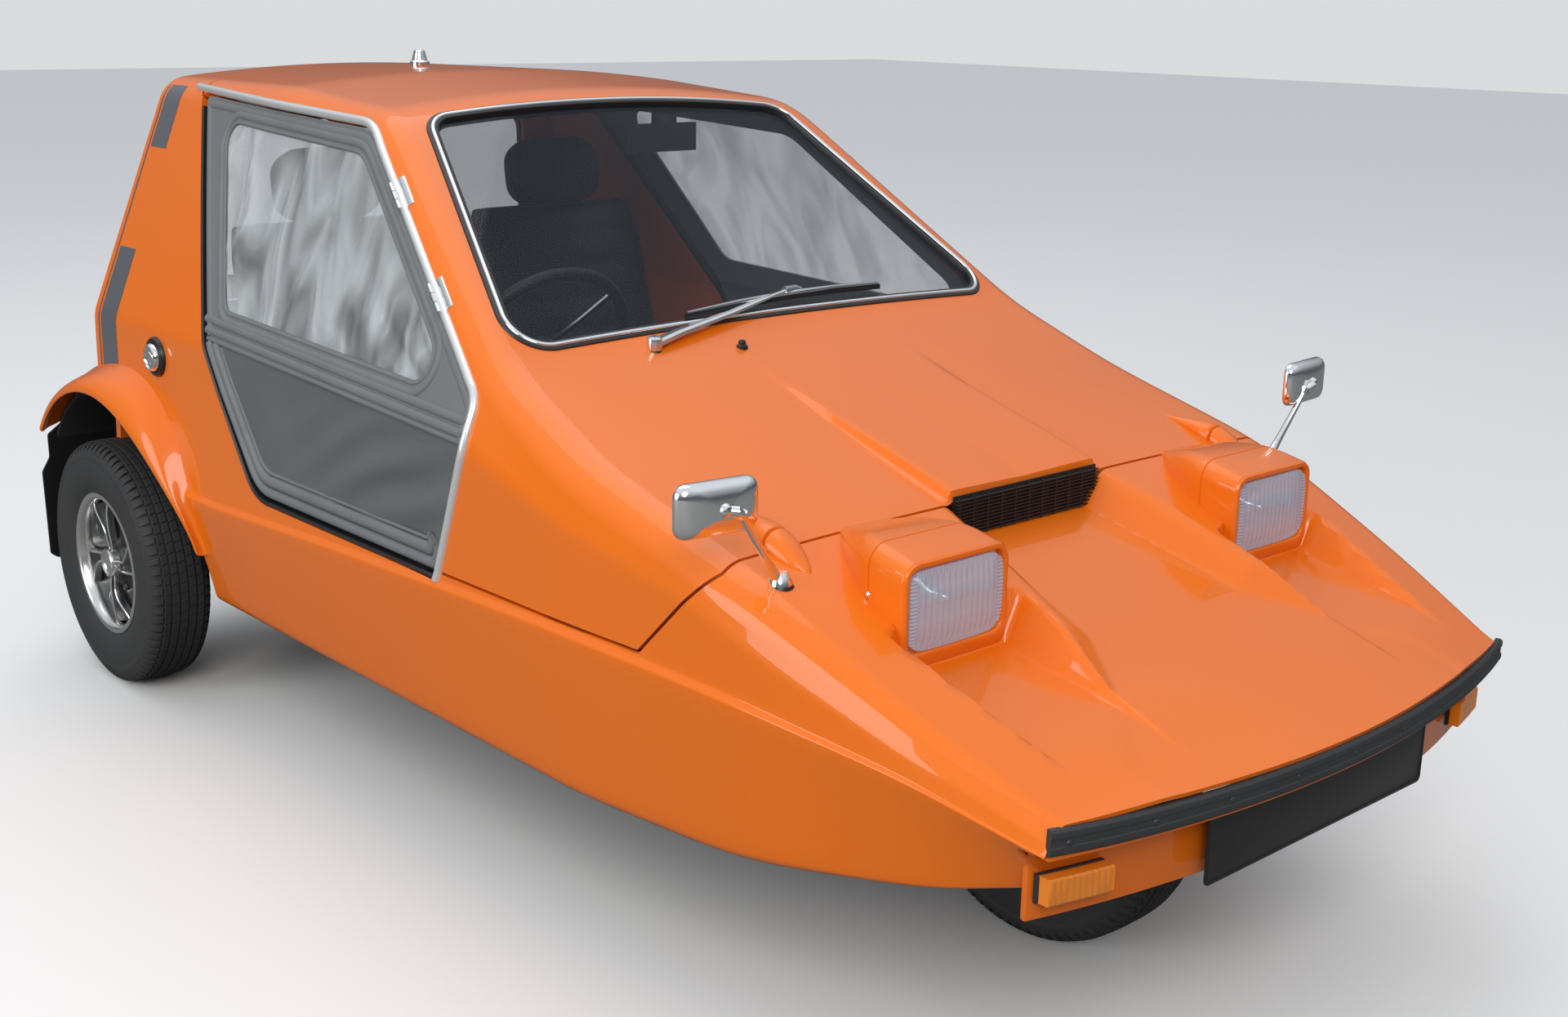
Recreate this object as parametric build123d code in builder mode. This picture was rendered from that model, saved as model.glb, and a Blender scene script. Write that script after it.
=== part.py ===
from build123d import *
from math import cos, radians, sin, tan
import os

os.makedirs("parts", exist_ok=True)

# A low wedge-shaped three wheeled car with one front wheel and two rear wheels.
# Millimetres. +Z up, the nose points to -Y, +X is the car's left-hand side.
# The origin is on the ground under the middle of the car.
# A station is a distance behind the painted nose edge on the centre line.

# Driving sizes of the whole car
length = 2794.0
width = 1397.0
wheelbase = 1956.0
bumper_proud = 8.0
nose_y = -length / 2 + bumper_proud

# Walls and gaps
wall = 30.0  # body walls, outer skin and lining together
screen_wall = 22.0  # soft side screens with their frames
panel_gap = 6.0  # all round a panel that moves
seal_wall = 16.0  # rubber and bright strip round the windscreen
glass_wall = 5.0
far = 900.0  # a reach beyond the body's sides, for cutting tools

# Wheels
tyre_radius = 254.0
tyre_width = 132.0
rear_track = 1240.0
front_axle_station = 506.0
rear_axle_station = front_axle_station + wheelbase
axle_z = tyre_radius
hub_radius = 62.0
bore_clearance = 0.05


def at(station):
    return nose_y + station


# The hull's sections, from nose to tail. Columns: station, sill x and z, belt x and z,
# waist x and z, roof edge x and z, crown z, and a scale for the ledge and corner radii.
hull_rows = [
    (-30, 452, 402, 516, 428, 508, 444, 494, 462, 478, 0.10),
    (70, 470, 385, 530, 436, 523, 452, 507, 475, 500, 0.20),
    (260, 530, 325, 585, 490, 578, 520, 560, 555, 584, 0.45),
    (500, 580, 280, 625, 515, 620, 590, 606, 662, 682, 0.80),
    (590, 592, 268, 634, 520, 628, 630, 612, 694, 714, 0.90),
    (900, 607, 250, 646, 520, 640, 680, 618, 770, 802, 1.0),
    (1124, 607, 250, 646, 512, 638, 745, 590, 860, 872, 1.0),
    (1624, 607, 250, 646, 488, 630, 765, 470, 1200, 1232, 1.0),
    (2000, 607, 250, 646, 466, 630, 765, 462, 1225, 1257, 1.0),
    (2525, 607, 250, 646, 463, 630, 765, 445, 1222, 1250, 1.0),
]
ledge = 10.0
corner_radii = (25.0, 6.0, 6.0, 90.0, 70.0)  # sill, belt, ledge, waist, roof edge
crown_radius = 1800.0
least_radius = 0.5


def rounded_loop(points, radii):
    # A closed outline of straight runs and tangent arcs, one radius for each corner.
    count = len(points)
    arcs = []
    for i, radius in enumerate(radii):
        corner = Vector(*points[i])
        before = (Vector(*points[i - 1]) - corner).normalized()
        after = (Vector(*points[(i + 1) % count]) - corner).normalized()
        half = radians(before.get_angle(after)) / 2
        middle = (before + after).normalized()
        run = radius / tan(half)
        top = corner + middle * (radius / sin(half) - radius)
        arcs.append((corner + before * run, top, corner + after * run))
    for i, (start, top, end) in enumerate(arcs):
        ThreePointArc(start, top, end)
        Line(end, arcs[(i + 1) % count][0])


def hull_form(rows, inset=0.0):
    with BuildPart() as form:
        for row in rows:
            station, sill_x, sill_z, belt_x, belt_z, waist_x, waist_z, edge_x, edge_z, crown_z, scale = row
            step = ledge * scale
            right = [
                (sill_x - inset, sill_z + inset),
                (belt_x - inset, belt_z),
                (belt_x - step - inset, belt_z + step),
                (waist_x - inset, waist_z),
                (edge_x - inset * 0.8, edge_z - inset * 0.9),
            ]
            left = [(-x, z) for x, z in reversed(right)]
            radii = [max(radius * scale - inset, least_radius) for radius in corner_radii]
            with BuildSketch(Plane.XZ.offset(-at(station))):
                with BuildLine():
                    corners = [*right, (0, crown_z - inset), *left]
                    rounded_loop(corners, [*radii, crown_radius, *reversed(radii)])
                make_face()
        loft(ruled=True)
    return form.part


def side_prism(points, radii=0.0, grow=0.0, low_x=-far, high_x=far):
    with BuildPart() as prism:
        with BuildSketch(Plane.YZ.offset(low_x)):
            with BuildLine():
                FilletPolyline(*[(at(s), z) for s, z in points], radius=radii, close=True)
            make_face()
            if grow:
                offset(amount=grow, kind=Kind.INTERSECTION)
        extrude(amount=high_x - low_x)
    return prism.part


def plan_prism(points, radii=0.0, grow=0.0, low_z=700.0, high_z=1500.0):
    with BuildPart() as prism:
        with BuildSketch(Plane.XY.offset(low_z)):
            with BuildLine():
                FilletPolyline(*[(x, at(s)) for x, s in points], radius=radii, close=True)
            make_face()
            if grow:
                offset(amount=grow, kind=Kind.INTERSECTION)
        extrude(amount=high_z - low_z)
    return prism.part


def block(low, high):
    size = [b - a for a, b in zip(low, high)]
    middle = [(a + b) / 2 for a, b in zip(low, high)]
    with BuildPart() as piece:
        with Locations(tuple(middle)):
            Box(*size)
    return piece.part


def rod(start, end, wide, tall):
    start, end = Vector(*start), Vector(*end)
    along = end - start
    with BuildPart() as piece:
        with BuildSketch(Plane(origin=start, x_dir=along.cross(Vector(0, 0, 1)), z_dir=along)):
            Rectangle(wide, tall)
        extrude(amount=along.length)
    return piece.part


def save(part, name):
    part.label = name
    export_step(part, f"parts/{name}.step")


# Seams of the body, in side view, as station and height
roof_seam = 2346.0
nose_seam = 578.0
belt_seam_front = (722.0, 534.0)
belt_seam_rear = (1240.0, 527.0)
canopy_region = [
    (nose_seam, 1400),
    (nose_seam, 676),
    belt_seam_front,
    belt_seam_rear,
    (1300, 600),
    (2250, 1150),
    (roof_seam, 1208),
    (roof_seam, 1400),
]
nose_region = [
    (-100, 100),
    (790, 100),
    (790, 533),
    belt_seam_front,
    (nose_seam, 676),
    (nose_seam, 1000),
    (-100, 1000),
]
tub_region = [(790, 100), (1900, 100), (1900, 600), (1300, 600), belt_seam_rear, (790, 533)]
tail_region = [
    (1900, 100),
    (2600, 100),
    (2600, 1400),
    (roof_seam, 1400),
    (roof_seam, 1208),
    (2250, 1150),
    (1900, 600),
]

tail_inside = 2478.0

# The opening for a soft side screen, in side view
screen_opening = [
    (1230, 514),
    (1850, 512),
    (1985, 690),
    (2338, 1212),
    (1652, 1186),
    (1142, 815),
    (1140, 740),
]
screen_radii = [14, 95, 120, 14, 130, 22, 40]

outer = hull_form(hull_rows)
cabin_rows = [row for row in hull_rows if 500 <= row[0] < 2500]
inner = hull_form([*cabin_rows, (tail_inside, *hull_rows[-1][1:])], wall)

# Nose: the flat front, the central valley to the slot, a channel ahead of each lamp, the pods
# The valley's sections. Columns: station, floor z, half-width of the floor and of the rim
valley_rows = [(95.0, 506.0, 170.0, 185.0), (600.0, 650.0, 132.0, 190.0)]
valley_rim_rise = 75.0
# The lamp channel's sections. Columns: station, floor z, inner x, outer x
channel_rows = [(80.0, 504.0, 256.0, 436.0), (385.0, 560.0, 262.0, 452.0)]
# The lamp pod's sections. Columns: station, half-width, low z, high z, corner radius
pod_rows = [
    (384.0, 101.0, 556.0, 706.0, 26.0),
    (452.0, 98.0, 560.0, 722.0, 30.0),
    (520.0, 70.0, 580.0, 720.0, 26.0),
    (575.0, 34.0, 600.0, 706.0, 14.0),
    (612.0, 6.0, 640.0, 694.0, 3.0),
]
lamp_station = 384.0
lamp_x = 361.0
lamp_z = 640.0
lamp_width = 176.0
lamp_height = 109.0
lamp_depth = 46.0
lamp_clearance = 2.0


def valley_form():
    with BuildPart() as form:
        for station, floor_z, floor_x, rim_x in valley_rows:
            with BuildSketch(Plane.XZ.offset(-at(station))):
                with BuildLine():
                    Polyline(
                        (-floor_x, floor_z),
                        (floor_x, floor_z),
                        (rim_x, floor_z + valley_rim_rise),
                        (rim_x, far),
                        (-rim_x, far),
                        (-rim_x, floor_z + valley_rim_rise),
                        close=True,
                    )
                make_face()
        loft(ruled=True)
    return form.part


def channel_form(side):
    with BuildPart() as form:
        for station, floor_z, in_x, out_x in channel_rows:
            with BuildSketch(Plane.XZ.offset(-at(station))):
                with BuildLine():
                    Polyline(
                        (side * in_x, floor_z),
                        (side * out_x, floor_z),
                        (side * (out_x + 12), far),
                        (side * (in_x - 12), far),
                        close=True,
                    )
                make_face()
        loft(ruled=True)
    return form.part


def pod_form(side):
    with BuildPart() as form:
        for station, half, low_z, high_z, corner in pod_rows:
            with BuildSketch(Plane.XZ.offset(-at(station))):
                with Locations((side * lamp_x, (low_z + high_z) / 2)):
                    RectangleRounded(2 * half, high_z - low_z, corner)
        loft(ruled=True)
    return form.part


def lamp_pocket(side, grow):
    with BuildPart() as form:
        with BuildSketch(Plane.XZ.offset(-at(lamp_station - 5))):
            with Locations((side * lamp_x, lamp_z)):
                RectangleRounded(lamp_width + 2 * grow, lamp_height + 2 * grow, 14)
        extrude(amount=-(lamp_depth + 5 + grow))
    return form.part


def nose_cavity():
    # The hollow under the nose stays below the valley's floor.
    rows = [row for row in hull_rows if 70 <= row[0] <= 900]
    front_station, front_z = valley_rows[0][:2]
    rear_station, rear_z = valley_rows[1][:2]
    slope = (rear_z - front_z) / (rear_station - front_station)
    with BuildPart() as form:
        for row in rows:
            station, sill_x, sill_z, belt_x, belt_z, waist_x, waist_z = row[:7]
            cut_station = max(station, 105)
            top_z = front_z + slope * (cut_station - front_station) - 42
            points = [
                (sill_x - wall, 100),
                (sill_x - wall, sill_z),
                (belt_x - wall - 10, min(belt_z, top_z - 20)),
                (waist_x - wall - 18, top_z),
            ]
            with BuildSketch(Plane.XZ.offset(-at(cut_station))):
                with BuildLine():
                    Polyline(*points, *[(-x, z) for x, z in reversed(points)], close=True)
                make_face()
        loft(ruled=True)
    return form.part


bumper_half = 530.0
bumper_low = 438.0
bumper_high = 472.0
arc_drop = 76.0
valance_ahead = 40.0
valance_half = 505.0


def arc_band(ahead, behind, low_x, high_x, low_z, high_z):
    # A band that follows the nose edge in plan, between two distances behind it.
    half = bumper_half
    with BuildPart() as band:
        with BuildSketch(Plane.XY.offset(low_z)):
            with BuildLine():
                ThreePointArc((-half, at(ahead + arc_drop)), (0, at(ahead)), (half, at(ahead + arc_drop)))
                Line((half, at(ahead + arc_drop)), (half, at(behind + arc_drop)))
                ThreePointArc((half, at(behind + arc_drop)), (0, at(behind)), (-half, at(behind + arc_drop)))
                Line((-half, at(behind + arc_drop)), (-half, at(ahead + arc_drop)))
            make_face()
        extrude(amount=high_z - low_z)
    return band.part & block((low_x, at(-50), low_z), (high_x, at(300), high_z))


# The canopy's hinges: a blister at each end of the nose seam, split between nose and canopy
hinge_axis_station = 588.0
hinge_axis_z = 712.0
blister_x = 497.0


def blister(side, tip, tip_z, wide_station):
    with BuildPart() as form:
        for station, half, low_z, high_z, corner in (
            (tip, 4, tip_z - 14, tip_z + 3, 2),
            (wide_station, 24, 680, 727, 12),
        ):
            with BuildSketch(Plane.XZ.offset(-at(station))):
                with Locations((side * blister_x, (low_z + high_z) / 2)):
                    RectangleRounded(2 * half, high_z - low_z, corner)
        loft(ruled=True)
    return form.part


def cross_bar(low_x, high_x, station, z, radius, bore=0.0):
    with BuildPart() as bar:
        with BuildSketch(Plane.YZ.offset(low_x)):
            with Locations((at(station), z)):
                Circle(radius)
                if bore:
                    Circle(bore, mode=Mode.SUBTRACT)
        extrude(amount=high_x - low_x)
    return bar.part


with BuildPart() as hinge_blisters:
    for side in (-1, 1):
        middle = side * blister_x
        add(blister(side, 519, 678, 572))
        for low_x in (middle - 22, middle + 12):
            add(cross_bar(low_x, low_x + 10, hinge_axis_station, hinge_axis_z, 11))
            add(block((low_x, at(570), 704), (low_x + 10, at(hinge_axis_station), 720)))
        add(cross_bar(middle - 22, middle + 22, hinge_axis_station, hinge_axis_z, 4))
    add(outer, mode=Mode.SUBTRACT)

with BuildPart() as canopy_knuckles:
    for side in (-1, 1):
        middle = side * blister_x
        add(blister(side, 689, 724, 604))
        add(cross_bar(middle - 11, middle + 11, hinge_axis_station, hinge_axis_z, 11))
        add(block((middle - 11, at(hinge_axis_station), 702), (middle + 11, at(606), 722)))
    for side in (-1, 1):
        middle = side * blister_x
        bore = cross_bar(middle - 12, middle + 12, hinge_axis_station, hinge_axis_z, 4 + bore_clearance)
        add(bore, mode=Mode.SUBTRACT)
    add(outer, mode=Mode.SUBTRACT)

with BuildPart() as nose_arc:
    with BuildSketch(Plane.XY.offset(100)):
        with BuildLine():
            ThreePointArc((-bumper_half, at(arc_drop)), (0, at(0)), (bumper_half, at(arc_drop)))
            Polyline(
                (bumper_half, at(arc_drop)),
                (far, at(160)),
                (far, at(1000)),
                (-far, at(1000)),
                (-far, at(160)),
                (-bumper_half, at(arc_drop)),
            )
        make_face()
    extrude(amount=1000)

with BuildPart() as nose_body:
    add(outer)
    for side in (-1, 1):
        add(channel_form(side), mode=Mode.SUBTRACT)
    add(valley_form(), mode=Mode.SUBTRACT)
    for side in (-1, 1):
        add(pod_form(side))
    add(nose_cavity(), mode=Mode.SUBTRACT)
    for side in (-1, 1):
        add(lamp_pocket(side, lamp_clearance), mode=Mode.SUBTRACT)
    add(side_prism(nose_region), mode=Mode.INTERSECT)
    add(nose_arc.part, mode=Mode.INTERSECT)
    add(arc_band(-30, valance_ahead, -bumper_half, bumper_half, 300, bumper_low), mode=Mode.SUBTRACT)
    add(arc_band(valance_ahead, valance_ahead + 10, -valance_half, valance_half, 336, 430))
    add(hinge_blisters.part)
save(nose_body.part, "nose_body")

# Canopy: bonnet, windscreen surround, pillars and roof in one moulding
screen_plan = [(-548, 1134), (548, 1134), (402, 1614), (-402, 1614)]
screen_corner = 62.0
door_hole = side_prism(screen_opening, screen_radii)
shell = outer - inner

with BuildPart() as canopy_shell:
    add(shell)
    add(side_prism(canopy_region, grow=-panel_gap), mode=Mode.INTERSECT)
    add(door_hole, mode=Mode.SUBTRACT)
    add(plan_prism(screen_plan, screen_corner), mode=Mode.SUBTRACT)
    add(canopy_knuckles.part)
save(canopy_shell.part, "canopy_shell")

with BuildPart() as windscreen_seal:
    add(hull_form(hull_rows[5:9], -4) - hull_form(hull_rows[5:9], 14))
    add(plan_prism(screen_plan, screen_corner), mode=Mode.INTERSECT)
    add(plan_prism(screen_plan, screen_corner, -seal_wall), mode=Mode.SUBTRACT)
save(windscreen_seal.part, "windscreen_seal")

with BuildPart() as windscreen:
    add(hull_form(hull_rows[5:9], 2) - hull_form(hull_rows[5:9], 2 + glass_wall))
    add(plan_prism(screen_plan, screen_corner, -seal_wall), mode=Mode.INTERSECT)
save(windscreen.part, "windscreen")

# Tub: the sides below the canopy and the doors, and the floor between them
tub_inside = 577.0
with BuildPart() as tub:
    add(shell)
    add(side_prism(tub_region), mode=Mode.INTERSECT)
    add(door_hole, mode=Mode.SUBTRACT)
with BuildPart() as tub_sides:
    add(tub.part)
    add(block((-tub_inside, at(700), 100), (tub_inside, at(1900), 700)), mode=Mode.SUBTRACT)
save(tub_sides.part, "tub_sides")

# Wheel arches: the well in the body and the flare round it
arch_station = 2440.0
arch_z = 262.0
arch_radius = 350.0
flare_root = 405.0
flare_lip = 364.0
well_inside = 528.0


def arch_disc(radius, low_x, high_x):
    with BuildPart() as disc:
        with BuildSketch(Plane.YZ.offset(low_x)):
            with Locations((at(arch_station), arch_z)):
                Circle(radius)
        extrude(amount=high_x - low_x)
    return disc.part


def flare_form(side):
    with BuildPart() as form:
        for x, radius in ((600.0, flare_root + 6), (width / 2, flare_lip)):
            with BuildSketch(Plane.YZ.offset(side * x)):
                with Locations((at(arch_station - (radius - flare_lip) * 0.6), arch_z)):
                    Circle(radius)
        loft(ruled=True)
    return form.part


flare_below = [
    (1900, 270),
    (2040, 300),
    (2110, 372),
    (2300, 400),
    (2640, 500),
    (2900, 522),
    (2900, -200),
    (1900, -200),
]


def flare_piece(side):
    low, high = sorted((side * 590.0, side * far))
    return flare_form(side) - side_prism(flare_below, low_x=low, high_x=high)


def well_liner(side):
    low, high = sorted((side * (well_inside - 12), side * 640))
    return (arch_disc(arch_radius + 12, low, high) & outer) - block((low, at(1900), 0), (high, at(2500), 262))


# Tail: quarter panels, rear wall with the window, the shelf below it and the flap opening
tail_recess_station = 2503.0
recess_wall = 26.0
rear_window_half = 392.0
rear_window_low = 812.0
rear_window_high = 1140.0
flap_half = 430.0
flap_low = 476.0
flap_high = 764.0
flap_wall = 22.0
shelf_rear = 2740.0
shelf_half = 515.0
shelf_profile = [(2450, 300), (2700, 300), (shelf_rear, 335), (shelf_rear, 405), (2690, 440), (2450, 450)]
shelf_radii = [6, 30, 16, 16, 16, 6]


def rear_panel(half, low_z, high_z, corner, near, distant):
    with BuildPart() as form:
        with BuildSketch(Plane.XZ.offset(-at(near))):
            with Locations((0, (low_z + high_z) / 2)):
                RectangleRounded(2 * half, high_z - low_z, corner)
        extrude(amount=-(distant - near))
    return form.part


axle_space_ahead = 2150.0
axle_space_behind = 2632.0
axle_space_top = 388.0
luggage_floor_wall = 14.0
luggage_floor_top = axle_space_top + luggage_floor_wall


def arch_tail(side):
    # The arch behind the rear wall, closed back to the shelf.
    low, high = sorted((side * (shelf_half - 2), side * 602))
    return (
        arch_disc(flare_root, low, high)
        - block((low - 1, at(1900), -200), (high + 1, at(2500), 900))
        - side_prism(flare_below, low_x=low - 1, high_x=high + 1)
    )


tail_row = hull_rows[-1][1:]
with BuildPart() as tail_body:
    add(shell)
    add(side_prism(tail_region), mode=Mode.INTERSECT)
    add(door_hole, mode=Mode.SUBTRACT)
    for side in (-1, 1):
        add(flare_piece(side))
        add(well_liner(side))
        add(arch_tail(side))
    for side in (-1, 1):
        low, high = sorted((side * well_inside, side * far))
        add(arch_disc(arch_radius, low, high), mode=Mode.SUBTRACT)
    add(side_prism(shelf_profile, shelf_radii, low_x=-shelf_half, high_x=shelf_half))
    add(
        block((-well_inside, at(axle_space_ahead), 0), (well_inside, at(axle_space_behind), axle_space_top)),
        mode=Mode.SUBTRACT,
    )
    riser_low = (-well_inside, at(axle_space_ahead - luggage_floor_wall), 255)
    add(block(riser_low, (well_inside, at(axle_space_ahead), luggage_floor_top)))
    add(block((-well_inside, at(axle_space_ahead), axle_space_top), (well_inside, at(2490), luggage_floor_top)))
    recess = hull_form([(tail_recess_station, *tail_row), (2560, *tail_row)], recess_wall)
    add(recess & block((-far, at(2400), 455), (far, at(2600), 1400)), mode=Mode.SUBTRACT)
    add(rear_panel(rear_window_half, rear_window_low, rear_window_high, 45, 2450, 2540), mode=Mode.SUBTRACT)
    flap_opening = rear_panel(flap_half, flap_low - panel_gap, flap_high + panel_gap, 14, 2450, 2540)
    add(flap_opening, mode=Mode.SUBTRACT)
save(tail_body.part, "tail_body")

with BuildPart() as rear_window:
    add(rear_panel(rear_window_half, rear_window_low, rear_window_high, 45, 2488, 2493))
save(rear_window.part, "rear_window")

with BuildPart() as floor_pan:
    add(tub.part)
    add(block((-tub_inside, at(700), 100), (tub_inside, at(1900), 700)), mode=Mode.INTERSECT)
save(floor_pan.part, "floor_pan")

# Luggage flap, hinged along its lower edge
flap_axis = (2514.0, 466.0)
with BuildPart() as luggage_flap:
    near, distant = tail_recess_station - flap_wall, tail_recess_station
    add(rear_panel(flap_half - panel_gap, flap_low, flap_high, 12, near, distant))
    for x in (-300, 300):
        with BuildSketch(Plane.YZ.offset(x - 20)):
            with BuildLine():
                Polyline(
                    (at(flap_axis[0]) - 8, flap_axis[1]),
                    (at(flap_axis[0]) + 8, flap_axis[1]),
                    (at(flap_axis[0]) + 8, flap_axis[1] + 40),
                    (at(tail_recess_station), flap_axis[1] + 40),
                    (at(tail_recess_station), flap_axis[1] + 12),
                    close=True,
                )
            make_face()
            with Locations((at(flap_axis[0]), flap_axis[1])):
                Circle(8)
                Circle(4 + bore_clearance, mode=Mode.SUBTRACT)
        extrude(amount=40)
save(luggage_flap.part, "luggage_flap")

with BuildPart() as flap_hinges:
    for x in (-300, 300):
        for low_x in (x - 34, x + 22):
            with BuildSketch(Plane.YZ.offset(low_x)):
                with BuildLine():
                    Polyline(
                        (at(tail_recess_station), 455),
                        (at(flap_axis[0]) + 6, 455),
                        (at(flap_axis[0]) + 6, flap_axis[1]),
                        (at(tail_recess_station), flap_axis[1]),
                        close=True,
                    )
                make_face()
                with Locations((at(flap_axis[0]), flap_axis[1])):
                    Circle(8)
            extrude(amount=12)
        with BuildSketch(Plane.YZ.offset(x - 34)):
            with Locations((at(flap_axis[0]), flap_axis[1])):
                Circle(4)
        extrude(amount=68)
save(flap_hinges.part, "flap_hinges")

# Side screens: a vinyl-covered frame with a clear window and a pleated lower panel,
# hung from two hinges along the front pillar
trim_width = 8.0
window_outline = [(1222, 812), (1992, 838), (2192, 1158), (1668, 1134)]
window_radii = [34, 40, 26, 90]
panel_outline = [(1268, 560), (1800, 558), (1905, 690), (1942, 752), (1192, 738)]
panel_radii = [15, 70, 120, 25, 20]
cabin_sides = hull_rows[5:]
screen_sheet = hull_form(cabin_sides) - hull_form(cabin_sides, screen_wall)
window_sheet = hull_form(cabin_sides, 8) - hull_form(cabin_sides, 11)
panel_sheet = hull_form(cabin_sides, 4) - hull_form(cabin_sides, 14)
trim_sheet = hull_form(cabin_sides, -3) - hull_form(cabin_sides, 12)

# The hinge line runs beside the pillar's edge, clear of the skin: x, station, z at two points
hinge_low = (587.0, 1263.0, 906.8)
hinge_high = (509.6, 1560.0, 1122.8)
hinge_shares = (0.16, 0.80)
knuckle_length = 26.0
knuckle_gap = 1.0
knuckle_radius = 5.0
hinge_pin_radius = 2.5
hinge_leaf = 22.0


def hinge_line(side):
    low_end = Vector(side * hinge_low[0], at(hinge_low[1]), hinge_low[2])
    high_end = Vector(side * hinge_high[0], at(hinge_high[1]), hinge_high[2])
    return low_end, high_end


def hinge_parts(side):
    # The pillar's leaves and pins, and the screen's knuckles with their tabs.
    low_end, high_end = hinge_line(side)
    along = (high_end - low_end).normalized()
    leaves, knuckles = [], []
    for share in hinge_shares:
        middle = low_end + (high_end - low_end) * share
        for step in (-1, 0, 1):
            start = middle + along * (step * (knuckle_length + knuckle_gap) - knuckle_length / 2)
            foot = Plane(origin=start, x_dir=(side, 0, 0.4), z_dir=along)
            with BuildPart() as knuckle:
                with BuildSketch(foot):
                    Circle(knuckle_radius)
                    if step == 0:
                        with Locations((-2, side * hinge_leaf / 2)):
                            Rectangle(6, hinge_leaf)
                        with Locations((-8, side * (hinge_leaf - 3.5))):
                            Rectangle(18, 7)
                    else:
                        with Locations((-8, -side * hinge_leaf / 2)):
                            Rectangle(18, hinge_leaf)
                extrude(amount=knuckle_length)
                with BuildSketch(foot):
                    Circle(hinge_pin_radius + bore_clearance if step == 0 else hinge_pin_radius)
                extrude(amount=knuckle_length, mode=Mode.SUBTRACT if step == 0 else Mode.ADD)
            (knuckles if step == 0 else leaves).append(knuckle.part)
        with BuildPart() as pin:
            with BuildSketch(Plane(origin=middle - along * (knuckle_length * 0.6), z_dir=along)):
                Circle(hinge_pin_radius)
            extrude(amount=knuckle_length * 1.2)
        leaves.append(pin.part)
    return leaves, knuckles


with BuildPart() as screen_trims:
    add(trim_sheet)
    add(door_hole, mode=Mode.INTERSECT)
    add(side_prism(screen_opening, screen_radii, -trim_width), mode=Mode.SUBTRACT)
    add(side_prism(canopy_region, grow=-panel_gap), mode=Mode.INTERSECT)
save(screen_trims.part, "screen_trims")

with BuildPart() as screen_hinges:
    for side in (-1, 1):
        for leaf in hinge_parts(side)[0]:
            add(leaf)
    add(outer, mode=Mode.SUBTRACT)
    add(screen_trims.part, mode=Mode.SUBTRACT)
save(screen_hinges.part, "screen_hinges")

for side, name in ((-1, "right"), (1, "left")):
    low, high = sorted((0, side * far))
    with BuildPart() as screen_frame:
        add(screen_sheet)
        add(side_prism(screen_opening, screen_radii, -trim_width - panel_gap, low, high), mode=Mode.INTERSECT)
        add(side_prism(window_outline, window_radii, 0, low, high), mode=Mode.SUBTRACT)
        add(side_prism(panel_outline, panel_radii, 0, low, high), mode=Mode.SUBTRACT)
        for knuckle in hinge_parts(side)[1]:
            add(knuckle - outer)
        add(panel_sheet & side_prism(panel_outline, panel_radii, 0, low, high))
    save(screen_frame.part, f"screen_frame_{name}")
    with BuildPart() as screen_window:
        add(window_sheet)
        add(side_prism(window_outline, window_radii, 0, low, high), mode=Mode.INTERSECT)
    save(screen_window.part, f"screen_window_{name}")

# Front edge: bumper strip, indicators and blank plate
plate_width = 520.0
plate_height = 112.0
front_plate_low = 328.0
plate_wall = 4.0
indicator_inner = 412.0
indicator_outer = 505.0
indicator_low = 362.0
indicator_high = 398.0
indicator_proud = 22.0
with BuildPart() as front_bumper:
    add(arc_band(-bumper_proud, 0, -bumper_half, bumper_half, bumper_low, bumper_high))
save(front_bumper.part, "front_bumper")

with BuildPart() as front_plate:
    low = (-plate_width / 2, at(valance_ahead - plate_wall), front_plate_low)
    add(block(low, (plate_width / 2, at(valance_ahead), bumper_low - 2)))
    add(nose_body.part, mode=Mode.SUBTRACT)
save(front_plate.part, "front_plate")

with BuildPart() as indicators:
    for side in (-1, 1):
        low, high = sorted((side * indicator_inner, side * indicator_outer))
        ahead = valance_ahead - indicator_proud
        add(arc_band(ahead, valance_ahead, low, high, indicator_low, indicator_high))
save(indicators.part, "indicators")

# Headlamps, grille and hinge blisters
with BuildPart() as headlamps:
    with BuildSketch(Plane.XZ.offset(-at(lamp_station + 4))):
        for side in (-1, 1):
            with Locations((side * lamp_x, lamp_z)):
                RectangleRounded(lamp_width, lamp_height, 14)
    extrude(amount=-(lamp_depth + lamp_clearance - 4))
save(headlamps.part, "headlamps")

grille_bars = 6
grille_uprights = 5
grille_half = 134.0
grille_height = 44.0
grille_z = 666.0
grille_upright = 5.0
grille_bar = 2.5
grille_ahead = 14.0
grille_foot = 640.0
with BuildPart() as slot_grille:
    pitch_x = 2 * grille_half / grille_uprights
    pitch_z = grille_height / grille_bars
    with BuildSketch(Plane.XZ.offset(-at(nose_seam - grille_ahead))):
        with Locations((0, grille_z)):
            Rectangle(2 * grille_half, grille_height)
            with GridLocations(pitch_x, pitch_z, grille_uprights, grille_bars):
                Rectangle(pitch_x - grille_upright, pitch_z - grille_bar, mode=Mode.SUBTRACT)
    extrude(amount=-10)
    low = (-grille_half, at(nose_seam - grille_ahead - 10), grille_foot)
    add(block(low, (grille_half, at(nose_seam - grille_ahead), grille_foot + 6)))
    add(outer - valley_form(), mode=Mode.SUBTRACT)
save(slot_grille.part, "slot_grille")

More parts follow.
